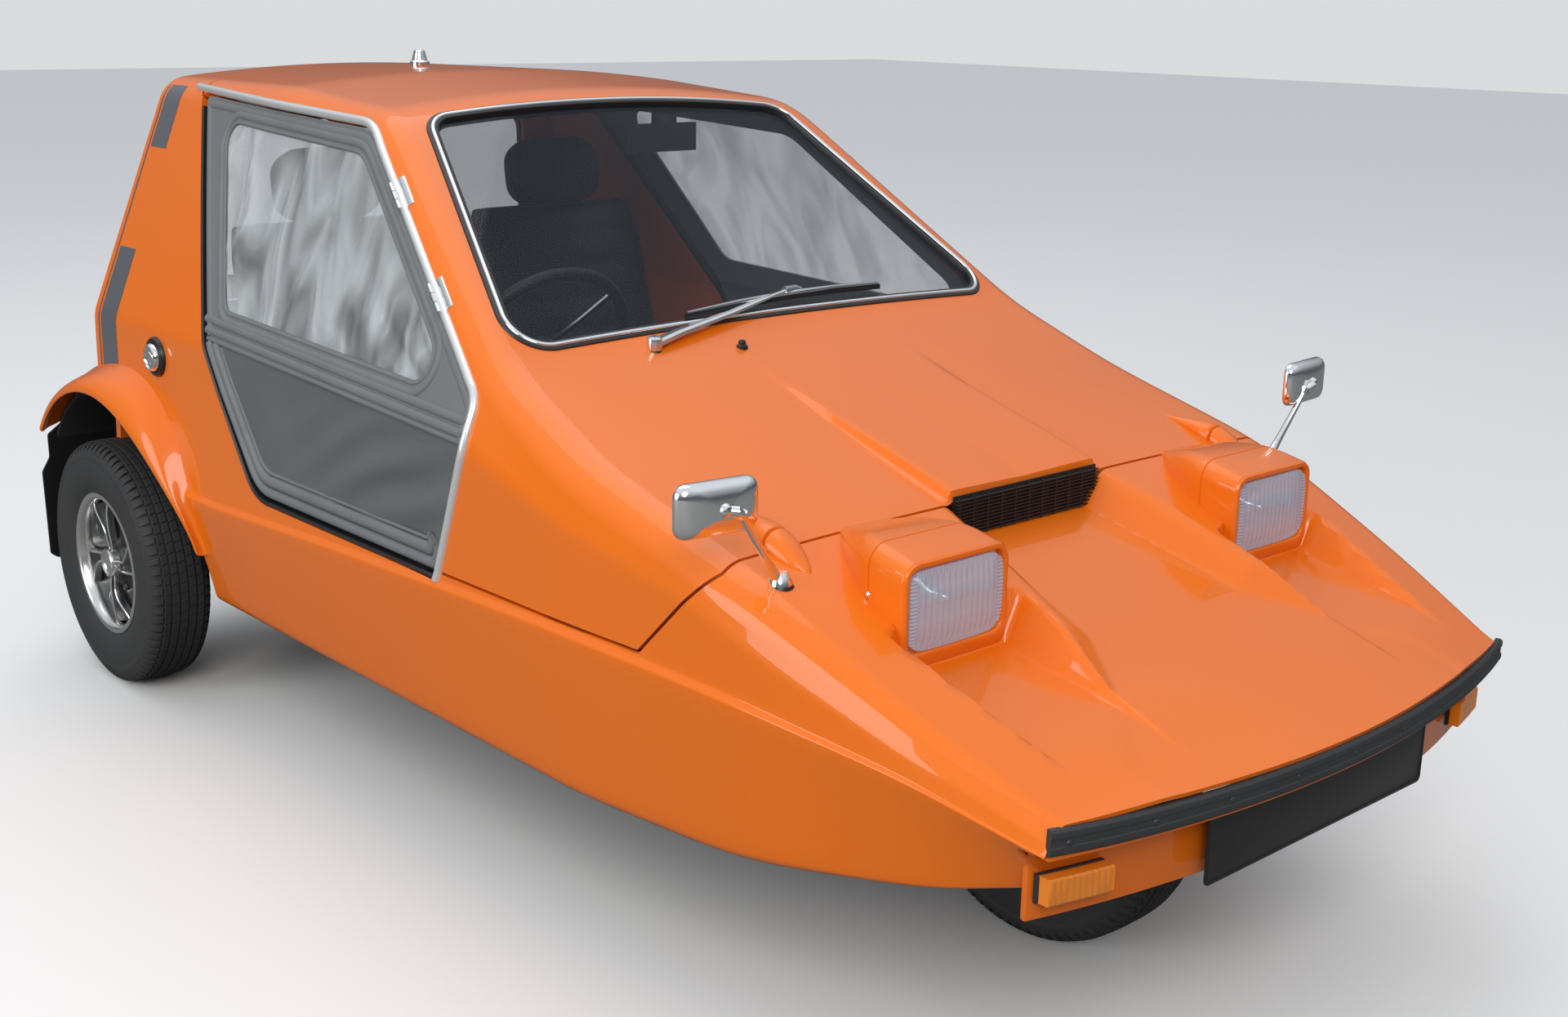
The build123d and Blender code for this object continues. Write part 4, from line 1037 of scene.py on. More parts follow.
def copiesRound(mesh, count, look):
    inputs = {ringSockets["Count"]: count, ringSockets["Material"]: finish[look]}
    return withModifier(mesh, "NODES", {"node_group": ringTree}, inputs)


def studsOn(places, outs, studMesh, look, size=1.0):
    stud = newObject("stud", studMesh)
    points = bpy.data.meshes.new("studPoints")
    points.from_pydata([tuple(p) for p in places], [], [])
    direction = points.attributes.new("direction", "FLOAT_VECTOR", "POINT")
    direction.data.foreach_set("vector", [float(c) for out in outs for c in out])
    inputs = {
        pointSockets["Stud"]: stud,
        pointSockets["Size"]: size,
        pointSockets["Material"]: finish[look],
    }
    mesh = withModifier(points, "NODES", {"node_group": pointTree}, inputs)
    bpy.data.objects.remove(stud)
    return smoothMesh(mesh, 40)


def domeMesh(radius, height, rings=3, around=10):
    vertices = [(0, 0, height / 1000)]
    for angle in np.linspace(0, math.pi / 2, rings + 1)[1:]:
        wide, tall = radius * math.sin(angle) / 1000, height * math.cos(angle) / 1000
        vertices += [(*onCircle(wide, turn), tall) for turn in turnsRound(around)]
    faces = [(0, 1 + k, 1 + (k + 1) % around) for k in range(around)]
    for start in range(1, 1 + around * (rings - 1), around):
        for k in range(around):
            a, b = start + k, start + (k + 1) % around
            faces.append((a, a + around, b + around, b))
    mesh = bpy.data.meshes.new("dome")
    mesh.from_pydata(vertices, [], faces)
    return mesh


# Tail: rear wall, shelf, luggage floor, arches and flares

tailForm = {
    "station": 2503,
    "wall": 20,
    "foot": 455,
    "shrink": (1 - 22 / 640, 0.028),  # of the body's section across, and down from its height
    # half-width, low z, high z, corner radius
    "window": (392, 812, 1140, 45),
    "flap": (430, 470, 770, 14),
    "shelfHalf": 515,
    "shelf": [(2480, 300), (2700, 300), (2740, 335), (2740, 405), (2690, 440), (2480, 450)],
    "shelfCorners": [4, 30, 16, 16, 16, 4],
    # half-width, then low and high station and z
    "floors": ((527, 2150, 2488, 388, 401), (527, 2136, 2150, 255, 401), (560, 1901, 2149, 251, 279)),
    # x, radius and angle of each band round the arch
    "liner": (((518, 654), (350, 358), (30, 148, 32)), ((518, 600), (350, 358), (148, 176, 10))),
    "linerWall": (516, 526, (21, 159, 40)),
}


def makeRearWall():
    # A flat panel across the car with two holes
    form = tailForm
    section, _ = halfSection(2520, 20)
    foot = form["foot"]
    right = [(x, z) for x, z in section if z > foot - 3]
    right.insert(0, (right[0][0], foot))
    across, down = form["shrink"]
    right = [(x * across, z - down * (z - foot)) for x, z in right]
    outline = right[:-1] + [(0, right[-1][1])] + [(-x, z) for x, z in reversed(right[:-1])]
    loops = [outline]
    for half, low, high, corner in (form["window"], form["flap"]):
        loops.append(roundLoop([(-half, low), (half, low), (half, high), (-half, high)], corner))
    work = bmesh.new()
    edges = []
    for loop in loops:
        ring = [work.verts.new(place) for place in ringAt(form["station"] - form["wall"], loop)]
        edges += [work.edges.new((a, b)) for a, b in zip(ring, ring[1:] + ring[:1])]
    filled = bmesh.ops.triangle_fill(work, use_beauty=True, edges=edges)["geom"]
    faces = [g for g in filled if isinstance(g, bmesh.types.BMFace)]
    moved = bmesh.ops.extrude_face_region(work, geom=faces)["geom"]
    moved = [g for g in moved if isinstance(g, bmesh.types.BMVert)]
    bmesh.ops.translate(work, verts=moved, vec=(0, form["wall"] / 1000, 0))
    bmesh.ops.recalc_face_normals(work, faces=work.faces)
    mesh = meshFrom(work)
    mesh.materials.append(finish["paint"])
    return smoothMesh(mesh, 30)


def makeShelf():
    loop = roundLoop(tailForm["shelf"], tailForm["shelfCorners"])
    part = prism(loop, -tailForm["shelfHalf"], tailForm["shelfHalf"])
    return bevelled(pieceMesh([part], "paint"), 6.0)


def makeTailInside():
    boxes = [
        boxPart(inFrame(-half, near, low), inFrame(half, distant, high))
        for half, near, distant, low, high in tailForm["floors"]
    ]
    return pieceMesh(boxes, "lining")


def archBand(side, xs, radii, angles):
    # A closed band round the arch with a rectangular section
    corners = [(xs[0], radii[0]), (xs[1], radii[0]), (xs[1], radii[1]), (xs[0], radii[1])]
    return ringsToPart(archRings([corners] * len(angles), side, angles))


def archRings(sections, side, angles):
    # Sections of (x, radius), one at each angle round the arch
    rings = []
    for section, angle in zip(sections, angles):
        places = [(x, archLoop([angle], radius)[0]) for x, radius in section]
        rings.append([inFrame(side * x, station, z) for x, (station, z) in places])
    return rings


def makeArchLiners():
    parts = []
    near, distant, wallAngles = tailForm["linerWall"]
    wall = archLoop(np.linspace(*wallAngles))
    for side, _ in sides:
        parts += [archBand(side, xs, radii, np.linspace(*angles)) for xs, radii, angles in tailForm["liner"]]
        parts.append(prism(wall, *sorted((side * near, side * distant))))
    return pieceMesh(parts, "lining")


flareForm = {
    # angle round the arch, root radius, shoulder radius and x, lip radius and x
    "rows": (
        (39, 390, 377, 660, 352, 694),
        (52, 388, 376, 661, 352, 696),
        (66, 392, 380, 662, 352, 697),
        (82, 400, 387, 662, 352, 697),
        (94, 412, 396, 662, 353, 697),
        (106, 424, 407, 661, 354, 696),
        (117, 430, 411, 661, 354, 694),
        (127, 418, 402, 660, 354, 690),
        (138, 394, 384, 658, 354, 682),
        (149, 374, 369, 653, 355, 668),
        (158, 364, 361, 646, 356, 654),
        (166, 360, 358, 634, 356, 638),
    ),
    "steps": 72,
    "soften": 6,  # steps either side that are averaged
    "lipWall": 9,
    "backing": ((512, 640), (354, 398), (39, 82, 20)),  # x, radii and angles behind the root
}


def makeFlare(side):
    angle, *columns = np.array(flareForm["rows"], float).T
    angles = np.linspace(angle[0], angle[-1], flareForm["steps"])
    soften, wall = flareForm["soften"], flareForm["lipWall"]
    kernel = np.ones(2 * soften + 1) / (2 * soften + 1)
    soft = []
    for column in columns:
        padded = np.pad(np.interp(angles, angle, column), soften, mode="edge")
        soft.append(np.convolve(padded, kernel, "valid"))
    sections = []
    for angle, root, shoulder, shoulderX, lip, lipX in zip(angles, *soft):
        rootS, rootZ = archLoop([angle], root)[0]
        rootX = float(sideX(min(rootS, 2520), rootZ)) - 3
        sections.append([
            (rootX - 6, root + 7),
            (rootX + 1, root + 2),
            ((rootX * 2 + shoulderX) / 3, root * 0.72 + shoulder * 0.28),
            (shoulderX, shoulder),
            (shoulderX * 0.45 + lipX * 0.55, shoulder * 0.62 + lip * 0.38 + 6),
            (lipX - 2, lip + 14),
            (lipX, lip + 5),
            (lipX - 2, lip),
            (lipX - wall, lip + 1),
            (lipX - wall - 3, lip + 12),
            (rootX - 8, lip + 24),
        ])
    return ringsToPart(archRings(sections, side, angles))


def makeFlares():
    xs, radii, angles = flareForm["backing"]
    parts = []
    for side, _ in sides:
        parts += [makeFlare(side), archBand(side, xs, radii, np.linspace(*angles))]
    mesh = withModifier(pieceMesh(parts, "paint"), "SUBSURF", {"levels": 1, "render_levels": 1})
    return smoothMesh(mesh, 40)


addPiece("rearWall", makeRearWall(), "body", "paint")
addPiece("rearShelf", makeShelf(), "body", "paint")
addPiece("tailInside", makeTailInside(), "body", "lining")
addPiece("archLiners", makeArchLiners(), "body", "lining")
addPiece("flares", makeFlares(), "body", "paint")
print("tail details done")

# Lamp pods and lamps

podForm = {
    # station, half-width, low z, high z, corner radius
    "rows": (
        (384, 98, 560, 703, 24),
        (388, 101, 556, 707, 26),
        (440, 101, 556, 719, 30),
        (470, 96, 560, 722, 34),
        (510, 78, 580, 720, 32),
        (550, 54, 600, 711, 24),
        (585, 28, 616, 700, 14),
        (610, 8, 640, 690, 5),
        (618, 2, 655, 684, 1.5),
    ),
    "x": 361,
    "seam": 452,
    "seamDepth": 1.6,
    "lensHalf": (90, 57),
    "lensZ": 640,
    "lensCorner": 16,
    # station, and how far the rim stands outside the lens
    "rim": ((384, 8), (383, 4.5), (384, 1.5), (386, 0), (428, -1)),
    # station and radius of the bulb's shield
    "bulb": [(400, 0.2), (404, 7), (416, 9), (426, 9), (426, 0.2)],
}


def softRow(station, reach):
    # The pod's half-width, low and high z and corner, as a mean either side of a station
    places, *columns = np.array(podForm["rows"], float).T
    near = station + np.linspace(-1, 1, 9) * reach
    return [float(np.mean(np.interp(near, places, column))) for column in columns]


def makePods():
    form = podForm
    seam, middle = form["seam"], form["lensZ"]
    halfX, halfZ = form["lensHalf"]
    stations = [618, 612, 604, 594, *range(582, 384, -8), 388, 386]
    stations += [seam + step for step in (-1.4, -0.7, 0.7, 1.4)]
    parts = []
    for side, _ in sides:
        x = side * form["x"]
        loops = []
        for station in sorted(stations, reverse=True):
            half, low, high, corner = softRow(station, 0 if station < 400 else min(16, 618 - station))
            shrink = form["seamDepth"] if abs(station - seam) < 1 else 0
            loops.append((station, roundedRectangle(half - shrink, low, high - shrink, corner, x)))
        for station, grow in form["rim"]:
            low, high = middle - halfZ - grow, middle + halfZ + grow
            loops.append((station, roundedRectangle(halfX + grow, low, high, form["lensCorner"] + grow, x)))
        parts.append(ringsToPart([ringAt(*row) for row in loops]))
    return pieceMesh(parts, "paint", 40)


lensForm = {
    "grid": (88, 44),
    "inset": 1.5,
    "front": 388,
    "back": 393,
    "bow": 7,
    "border": (14, 13),
    "borderStep": 5,
    "fluteStep": 11,
    "flute": 1.9,
    "bar": 0.5,
}


def lensSurface(x, z):
    # Ribbed border, upright flutes and a few cross bars, in millimetres outwards
    form = lensForm
    borderX, borderZ = (half - border for half, border in zip(podForm["lensHalf"], form["border"]))
    if abs(x) > borderX or abs(z) > borderZ:
        along = z if abs(x) > borderX else x
        return form["flute"] * abs(math.cos(along * math.pi / form["borderStep"]))
    bar = form["bar"] if int((z + 60) / 22) % 2 else 0.0
    return form["flute"] * abs(math.cos(x * math.pi / form["fluteStep"])) + bar


def gridShares(columns, rows):
    return [(u, v) for v in np.linspace(-1, 1, rows + 1) for u in np.linspace(-1, 1, columns + 1)]


def makeLenses():
    form = lensForm
    columns, rows = form["grid"]
    halfX, halfZ = (half - form["inset"] for half in podForm["lensHalf"])
    page, wide = (columns + 1) * (rows + 1), columns + 1
    rim = [*range(columns), *range(columns, page - 1, wide)]
    rim += [*range(page - 1, page - wide, -1), *range(page - wide, 0, -wide)]
    faces = gridFaces(columns, rows) + gridFaces(columns, rows, page)
    faces += [(b, a, a + page, b + page) for a, b in zip(rim, rim[1:] + rim[:1])]
    parts = []
    for side, _ in sides:
        front, back = [], []
        for u, v in gridShares(columns, rows):
            pull = 1 - 0.14 * (u * v) ** 8  # rounds the corners
            x, z = u * halfX * pull, v * halfZ * pull
            bow = form["bow"] * (1 - 0.5 * (u * u + v * v))
            placeX, placeZ = side * podForm["x"] + x, podForm["lensZ"] + z
            front.append(inFrame(placeX, form["front"] - bow - lensSurface(x, z), placeZ))
            back.append(inFrame(placeX, form["back"], placeZ))
        parts.append((front + back, faces))
    return pieceMesh(parts, "lampGlassPaintedSkySheen", 60)


reflectorForm = {"grid": (28, 18), "inset": 3, "station": 396, "depth": 30}


def makeReflectors():
    form = reflectorForm
    halfX, halfZ = (half - form["inset"] for half in podForm["lensHalf"])
    parts = []
    for side, _ in sides:
        middle = side * podForm["x"]
        vertices = []
        for u, v in gridShares(*form["grid"]):
            station = form["station"] + form["depth"] * max(0.0, 1 - (u * u + v * v) * 0.72)
            vertices.append(inFrame(middle + u * halfX, station, podForm["lensZ"] + v * halfZ))
        parts.append((vertices, gridFaces(*form["grid"])))
        parts.append(revolve(podForm["bulb"], 16, "Y", (middle, noseY, podForm["lensZ"])))
    return pieceMesh(parts, "reflector", 50)


addPiece("lampPods", makePods(), "body", "paint")
addPiece("lampLenses", makeLenses(), "body", "lamp_glass", "headlamps")
addPiece("lampReflectors", makeReflectors(), "body", "chrome")
print("lamps done")

# Windscreen with its rubber seal and bright strip

sealForm = {
    "inset": 7.5,
    "profile": [(-11, -16), (-11, 0), (-10, 3), (-6, 4.5), (4, 4), (9, 2.5), (11, -2), (11, -16)],
    "stripInset": 8,
    "stripLift": 3.6,
    "strip": beadProfile(4, 3.6, 1),
    "glassInset": 13,
}


def screenLoop(inset, spacing=12):
    corner = windscreenShape["corner"] - inset
    return roundLoop(insetLoop(windscreenShape["outline"], inset), corner, spacing=spacing, turn=5)


def makeWindscreen():
    skin = halfSkin(stationsBetween(1100, 1660, 12), 40)
    trimSkin(skin, fromAbove(screenLoop(sealForm["glassInset"], None)), (0, 1), True)
    skin.normal_update()
    for v in skin.verts:
        v.co -= v.normal * windscreenShape["sunk"] / 1000
    return thickened(wholeSkin(skin), windscreenShape["glass"], "glass")


seal = sweep(*onTop(screenLoop(sealForm["inset"])), sealForm["profile"])
strip = sweep(*onTop(screenLoop(sealForm["stripInset"]), sealForm["stripLift"]), sealForm["strip"])
addPiece("windscreenSeal", pieceMesh([seal], "softRubber"), "canopy", "rubber", "windscreen_seal")
addPiece("windscreenStrip", pieceMesh([strip], "chrome"), "canopy", "chrome")
addPiece("windscreen", makeWindscreen(), "canopy", "glass", "windscreen")
print("windscreen done")

# Side screens: vinyl over a frame, padded rolls, a clear window and a soft lower panel

screenForm = {
    "window": [(1222, 812), (1992, 838), (2192, 1158), (1668, 1134)],
    "windowCorners": [34, 40, 26, 90],
    "bandLow": ((1163, 744), (2014, 777)),
    "edge": 11.5,  # the bright trim and the gap beside it
    "upperDepth": 6,
    "lowerDepth": 11,
    "filmDepth": 9,
    "wall": 4,
    "filmWall": 0.9,
    "lowerRun": [(2052, 775), (1985, 678), (1850, 512), (1232, 514), (1212, 560)],
    # the patch's grid: stations, heights and spacing
    "coverGrid": ((1130, 2350), (505, 1225), 11),
    "panelGrid": ((1130, 2110), (505, 800), 8),
    "filmGrid": ((1200, 2210), (800, 1170), 6),
    "foldPlace": (1390, 640),
    "foldReach": (230, 95),
    "foldHeight": 6,
    "filmFocus": (1215, 775),
    "creases": 24,
    "creaseHeight": 2.6,
    # inset of the roll or its height over the band, half-width, height
    "windowRolls": ((-19, 8.5, 5.5), (-5, 4, 3.6)),
    "bandRolls": ((5, 4.5, 3.5), (19, 8.5, 6.5), (37, 8.5, 6.5)),
    "panelRolls": ((22, 10, 9.5), (43, 10.5, 8.5), (58, 3, 3)),
    "bandFrom": 1157,
    "bandEnd": (1970, 690, 0.676),  # station and z on the rear edge, and the edge's lean
    "spacing": 14,
}


def bandZ(station, lift=0.0):
    (s0, z0), (s1, z1) = screenForm["bandLow"]
    return z0 + (station - s0) * (z1 - z0) / (s1 - s0) + lift


def sidePatch(side, loops, grid, depth, wall, look, shape=None):
    # A patch of the body's side, sunk by a depth and shaped by a function of station and z
    stations, heights, spacing = grid
    heights = stationsBetween(*heights, spacing)
    rows = []
    for station in stationsBetween(*stations, spacing):
        x = sideX(np.full(len(heights), station), heights) - depth
        if shape is not None:
            x = x + shape(station, heights)
        rows.append(ringAt(station, zip(side * x, heights)))
    skin = gridSkin(rows)
    if side > 0:
        bmesh.ops.reverse_faces(skin, faces=skin.faces)
    for loop, keep in loops:
        trimSkin(skin, flat(loop), (1, 2), keep)
    return thickened(meshFrom(skin), wall, look)


def insetCorners(outline, corners, inset, spacing=None):
    return roundLoop(insetLoop(outline, inset), [max(r - inset, 6) for r in corners], spacing=spacing)


def openingLoop(inset, spacing=None):
    return insetCorners(screenOpening["outline"], screenOpening["corners"], inset, spacing)


def windowLoop(inset, spacing=None):
    return insetCorners(screenForm["window"], screenForm["windowCorners"], inset, spacing)


def bead(loop, side, lift, half, height, closed=True):
    path, outs = onSide(loop, side, lift)
    return sweep(path, outs, beadProfile(half, height, 2.0, 10), closed)


def softFolds(station, z):
    # Slack folds that run down from the front pillar into the lower panel
    s0, z0 = screenForm["foldPlace"]
    reachS, reachZ = screenForm["foldReach"]
    near = np.exp(-(((station - s0) / reachS) ** 2) - ((z - z0) / reachZ) ** 2)
    slant = (station - s0) * 0.41 + (z - z0) * 0.91
    folds = screenForm["foldHeight"] * near * np.sin(slant / 12 + 1.1 * math.sin(station / 85))
    return folds + 1.2 * np.sin(station / 95 + z / 60) - 1.5


def filmCreases(station, z):
    # Creases fan out from the window's lower front corner, over slow waves
    s0, z0 = screenForm["filmFocus"]
    reach = np.hypot(station - s0, z - z0)
    angle = np.arctan2(z - z0, station - s0)
    fan = np.sin(screenForm["creases"] * angle + 1.8 * np.sin(reach / 110))
    fan *= screenForm["creaseHeight"] * np.exp(-(((reach - 230) / 270) ** 2))
    upright = 1.5 * np.sin(station / 19 + 1.7 * np.sin(z / 70)) * np.exp(-(((station - 1950) / 190) ** 2))
    return fan + upright + 2.2 * np.sin(station / 120 + 1) * np.sin(z / 85)


def bandCut(lift, end):
    # All that lies between the band's line and a height above or below it
    return [(1000, end), (2400, end), (2400, bandZ(2400, lift)), (1000, bandZ(1000, lift))]


def makeScreenPatches(side):
    form = screenForm
    opening = (openingLoop(form["edge"]), True)
    # The right film carries strong painted sky-reflection streaks, the left one fainter ones
    film = "film" if side < 0 else "filmFaintSheen"
    cover = sidePatch(
        side, [opening, (bandCut(0, 300), False), (windowLoop(-2), False)], form["coverGrid"],
        form["upperDepth"], form["wall"], "vinyl",
    )
    panel = sidePatch(
        side, [opening, (bandCut(6, 1500), False)], form["panelGrid"],
        form["lowerDepth"], form["wall"], "vinylDark", softFolds,
    )
    pane = sidePatch(
        side, [(windowLoop(-5), True)], form["filmGrid"],
        form["filmDepth"], form["filmWall"], film, filmCreases,
    )
    return cover, panel, pane


def makeScreenRolls(side):
    form = screenForm
    lift, spacing = -form["upperDepth"] - 1, form["spacing"]
    rim = np.array([p for p in openingLoop(form["edge"] + 10, spacing) if p[1] > bandZ(p[0], 4)])
    start = int(np.argmax(np.linalg.norm(rim - np.roll(rim, 1, axis=0), axis=1)))
    beads = [bead(np.roll(rim, -start, axis=0), side, lift, 9, 4.5, False)]
    for inset, half, height in form["windowRolls"]:
        beads.append(bead(windowLoop(inset, spacing), side, lift, half, height))
    endS, endZ, lean = form["bandEnd"]
    for rise, half, height in form["bandRolls"]:
        rearEnd = endS + (bandZ(endS + 60, rise) - endZ) * lean
        run = [(s, bandZ(s, rise)) for s in np.linspace(form["bandFrom"], rearEnd, 60)]
        beads.append(bead(run, side, lift, half, height, False))
    return beads


def makePanelRolls(side):
    form = screenForm
    beads = []
    for inset, half, height in form["panelRolls"]:
        corners = [0, 120 - inset, 95 - inset * 0.6, 6, 0]
        run = roundLoop(insetLoop(form["lowerRun"], inset, False), corners, False, form["spacing"])
        run = [p for p in run if p[0] > 1222 and p[1] < bandZ(p[0], 3)]
        beads.append(bead(run, side, -form["lowerDepth"] - 1, half, height, False))
    return beads


for side, name in sides:
    body, cover = f"screen_{name}", f"{name}ScreenCover"
    coverMesh, panelMesh, filmMesh = makeScreenPatches(side)
    addPiece(cover, coverMesh, body, "vinyl", f"screen_frame_{name}")
    panel = addPiece(f"{name}ScreenPanel", panelMesh, body, "vinyl")
    film = addPiece(f"{name}ScreenFilm", filmMesh, body, "clear_film", f"screen_window_{name}")
    for word, beads in (("ScreenRolls", makeScreenRolls(side)), ("PanelRolls", makePanelRolls(side))):
        addPiece(name + word, pieceMesh(beads, "vinyl", 50), body, "vinyl")
print("side screens done")

# Bright strip over the side openings

dripForm = {
    "run": [(2368, 1213), (1652, 1186), (1142, 815), (1140, 740), (1228, 516)],
    "corners": [0, 130, 46, 60, 0],
    "half": 8,
    "height": 8,
}
dripRun = roundLoop(dripForm["run"], dripForm["corners"], False, 14, 6)
strips = [bead(dripRun, side, 0, dripForm["half"], dripForm["height"], False) for side, _ in sides]
addPiece("dripStrips", pieceMesh(strips, "satinTrim", 50), "canopy", "chrome", "screen_trims")
print("bright strips done")

# Wheels. Profiles are (along the axle, radius), and the outer face looks along +X.

wheelForm = {
    "axleHeight": 254,
    "tyre": [
        (45, 142), (50, 140), (52, 147), (56, 151), (57.5, 154), (59, 158), (60, 159.5), (63, 172),
        (65.5, 186), (66, 202), (65.2, 214), (64.4, 219), (65.2, 221), (64.8, 224), (63, 232),
        (58.5, 238.5), (53, 243), (44, 246), (24, 248.4), (0, 249),
    ],
    "copies": 76,
    "lugShare": 0.60,
    "lugSkew": 0.0006,
    "lug": [(62.5, 233), (60.3, 238.5), (56, 245.5), (50.5, 249.6), (44.5, 251.2)],
    "lugRoot": [(44.5, 243), (62.5, 230)],
    # x, half-width and radius of each row of blocks
    "ribs": (
        (0, 7.5, 253.8), (-17.5, 7, 253.6), (17.5, 7, 253.6), (-34.5, 6.5, 252.6), (34.5, 6.5, 252.6),
    ),
    "ribShare": 0.93,
    "ribSkew": 0.0011,
    "barrel": [
        (-50, 134), (-56, 134), (-57.5, 141), (-56, 147.8), (-53.5, 148), (-51, 142.5), (-38, 134.5),
        (30, 133.5), (46, 140.5), (51, 143.5), (53.5, 148), (56.2, 147.8), (58, 143), (56.5, 138),
        (52, 134.5), (44, 132), (36, 130), (20, 128.5), (-40, 128.5),
    ],
    "dish": [
        (18, 130), (25.5, 130), (26.2, 127), (26.2, 62), (29, 50), (35, 42), (37, 38), (37, 20), (10, 20),
        (15, 60), (16, 130),
    ],
    "cap": [
        (20, 0.2), (20, 30), (48, 30), (52.5, 28.5), (54, 26), (53.5, 23.5), (50.5, 21.5), (50.5, 16),
        (52, 13), (52, 0.2),
    ],
    "nut": [(20, 0.1), (20, 8.5), (31, 8.5), (34.5, 6), (35, 0.1)],
    "nutPlace": (58, 36),  # radius, and angle after the spoke
    "spokes": 4,
    "spokeRun": (30, 130),  # radius at the hub and at the rim
    "spread": (10.5, 4, 17),  # degrees at the hub, and what either edge gains at the rim
    "swirl": 11,
    "spokeX": (24, 36, 39.5, 4.5),  # back, face and edge of a spoke, and how far the edge arches
    "spokeEdge": [(-2.6, -12), (-2.6, 1.6), (-1.2, 3), (1.2, 3), (2.6, 1.6), (2.6, -12)],
    "vent": [(-1.6, -3), (-1.6, 1.5), (1.6, 1.5), (1.6, -3)],
    "ventPlace": (28.5, 104, 62),  # x, radius, and angle after the spoke
    "ventHalf": (9, 7.5),
}


def onTyre(x, radius, turn):
    z, y = onCircle(radius / 1000, turn)
    return (x / 1000, y, z)


def makeTyre():
    form = wheelForm
    step = 2 * math.pi / form["copies"]
    blocks = []
    for side, _ in sides:
        rings = []
        for k in (-0.5, 0, 0.5):
            turn = k * step * form["lugShare"]
            skews = [side * (x - 44) * form["lugSkew"] for x, _ in form["lug"]] + [0, 0]
            points = form["lug"] + form["lugRoot"]
            rings.append([onTyre(side * x, r, turn + skew) for (x, r), skew in zip(points, skews)])
        blocks.append(rings)
    for row, (x, half, top) in enumerate(form["ribs"]):
        section = [(-half, 245), (-half, top - 0.8), (-half + 0.8, top)]
        section += [(-offset, r) for offset, r in reversed(section)]
        rings = []
        for k in (-0.5, 0.5):
            turn = (k * form["ribShare"] + 0.5 * (row % 2)) * step
            rings.append([onTyre(x + offset, r, turn + offset * form["ribSkew"]) for offset, r in section])
        blocks.append(rings)
    profile = form["tyre"] + [(-x, r) for x, r in reversed(form["tyre"][:-1])]
    parts = [pieceMesh([revolve(profile, 112)], "tyre", 40)]
    for rings in blocks:
        parts.append(copiesRound(pieceMesh([ringsToPart(rings)], "tyre", 30), form["copies"], "tyre"))
    return mergedMesh(parts, "tyre")


def ribCurve(spoke, edge, count=14):
    # One polished edge of a spoke: narrow at the hub, flaring and swirled at the rim
    near, left, right = wheelForm["spread"]
    points = []
    for share in np.linspace(0, 1, count):
        flare = near + (right * smoothStep(0.25, 1.0, share) if edge > 0 else left * share)
        spread = flare * (1.35 - 0.55 * smoothStep(0.0, 0.35, share))
        swirl = wheelForm["swirl"] * smoothStep(0.0, 0.85, share)
        turn = math.radians(spoke * 90 + edge * spread + swirl)
        points.append(onCircle(np.interp(share, (0, 1), wheelForm["spokeRun"]), turn))
    return np.array(points)


def atHeight(x, points):
    return np.column_stack([np.broadcast_to(x, len(points)), points]) / 1000


def makeWheelParts():
    form = wheelForm
    polished = [pieceMesh([revolve(form["barrel"], 120)], "alloy", 40)]
    black = [revolve(form["dish"], 96)]
    ventX, ventRadius, ventAngle = form["ventPlace"]
    ventLong, ventWide = form["ventHalf"]
    nutRadius, nutAngle = form["nutPlace"]
    back, face, edge, arch = form["spokeX"]
    for spoke in range(form["spokes"]):
        left, right = ribCurve(spoke, -1), ribCurve(spoke, 1)
        outs = [(1, 0, 0)] * len(left)
        for points in (left, right):
            crown = edge + arch * np.sin(np.linspace(0, math.pi, len(points)))
            part = sweep(atHeight(crown, points), outs, form["spokeEdge"], False)
            polished.append(pieceMesh([part], "alloy"))
        corners = ((face, left), (face, right), (back, right), (back, left))
        black.append(ringsToPart(list(zip(*(atHeight(*corner) for corner in corners)))))
        turn = math.radians(spoke * 90 + ventAngle)
        radial, cross = np.array((onCircle(1, turn), onCircle(1, turn + math.pi / 2)))
        ways = ((-1, -1), (1, -1), (1, 1), (-1, 1))
        ring = [radial * (ventRadius + a * ventLong) + cross * b * ventWide for a, b in ways]
        vent = sweep(atHeight(ventX, ring), outs[:4], form["vent"])
        polished.append(pieceMesh([vent], "alloy", 30))
        turn = math.radians(spoke * 90 + nutAngle)
        black.append(revolve(form["nut"], 6, "X", (0, *onCircle(nutRadius, turn))))
    polished.append(pieceMesh([revolve(form["cap"], 48)], "chrome"))
    return mergedMesh(polished, "alloy"), pieceMesh(black, "rimBlack", 30)


tyreMesh = makeTyre()
brightMesh, blackMesh = makeWheelParts()
wheels = (
    ("front", 0.0, 506.0, 0.0, "front_wheel", "front"),
    ("rearLeft", 620.0, 2462.0, 0.0, "rear_wheel_left", "rear_left"),
    ("rearRight", -620.0, 2462.0, math.pi, "rear_wheel_right", "rear_right"),
)
for name, x, station, turn, body, node in wheels:
    place = Matrix.Translation(inFrame(x, station, wheelForm["axleHeight"]))
    tyre, bright, black = tyreMesh.copy(), brightMesh.copy(), blackMesh.copy()
    for mesh in (tyre, bright, black):
        mesh.transform(place @ Matrix.Rotation(turn, 4, "Z"))
    addPiece(f"{name}Tyre", tyre, body, "tyre", f"tyre_{node}")
    addPiece(f"{name}RimBright", bright, body, "alloy", f"rim_{node}")
    addPiece(f"{name}RimBlack", black, body, "alloy")
print("wheels done")

# Front strip, rivets, indicators, plate and the valance behind the strip

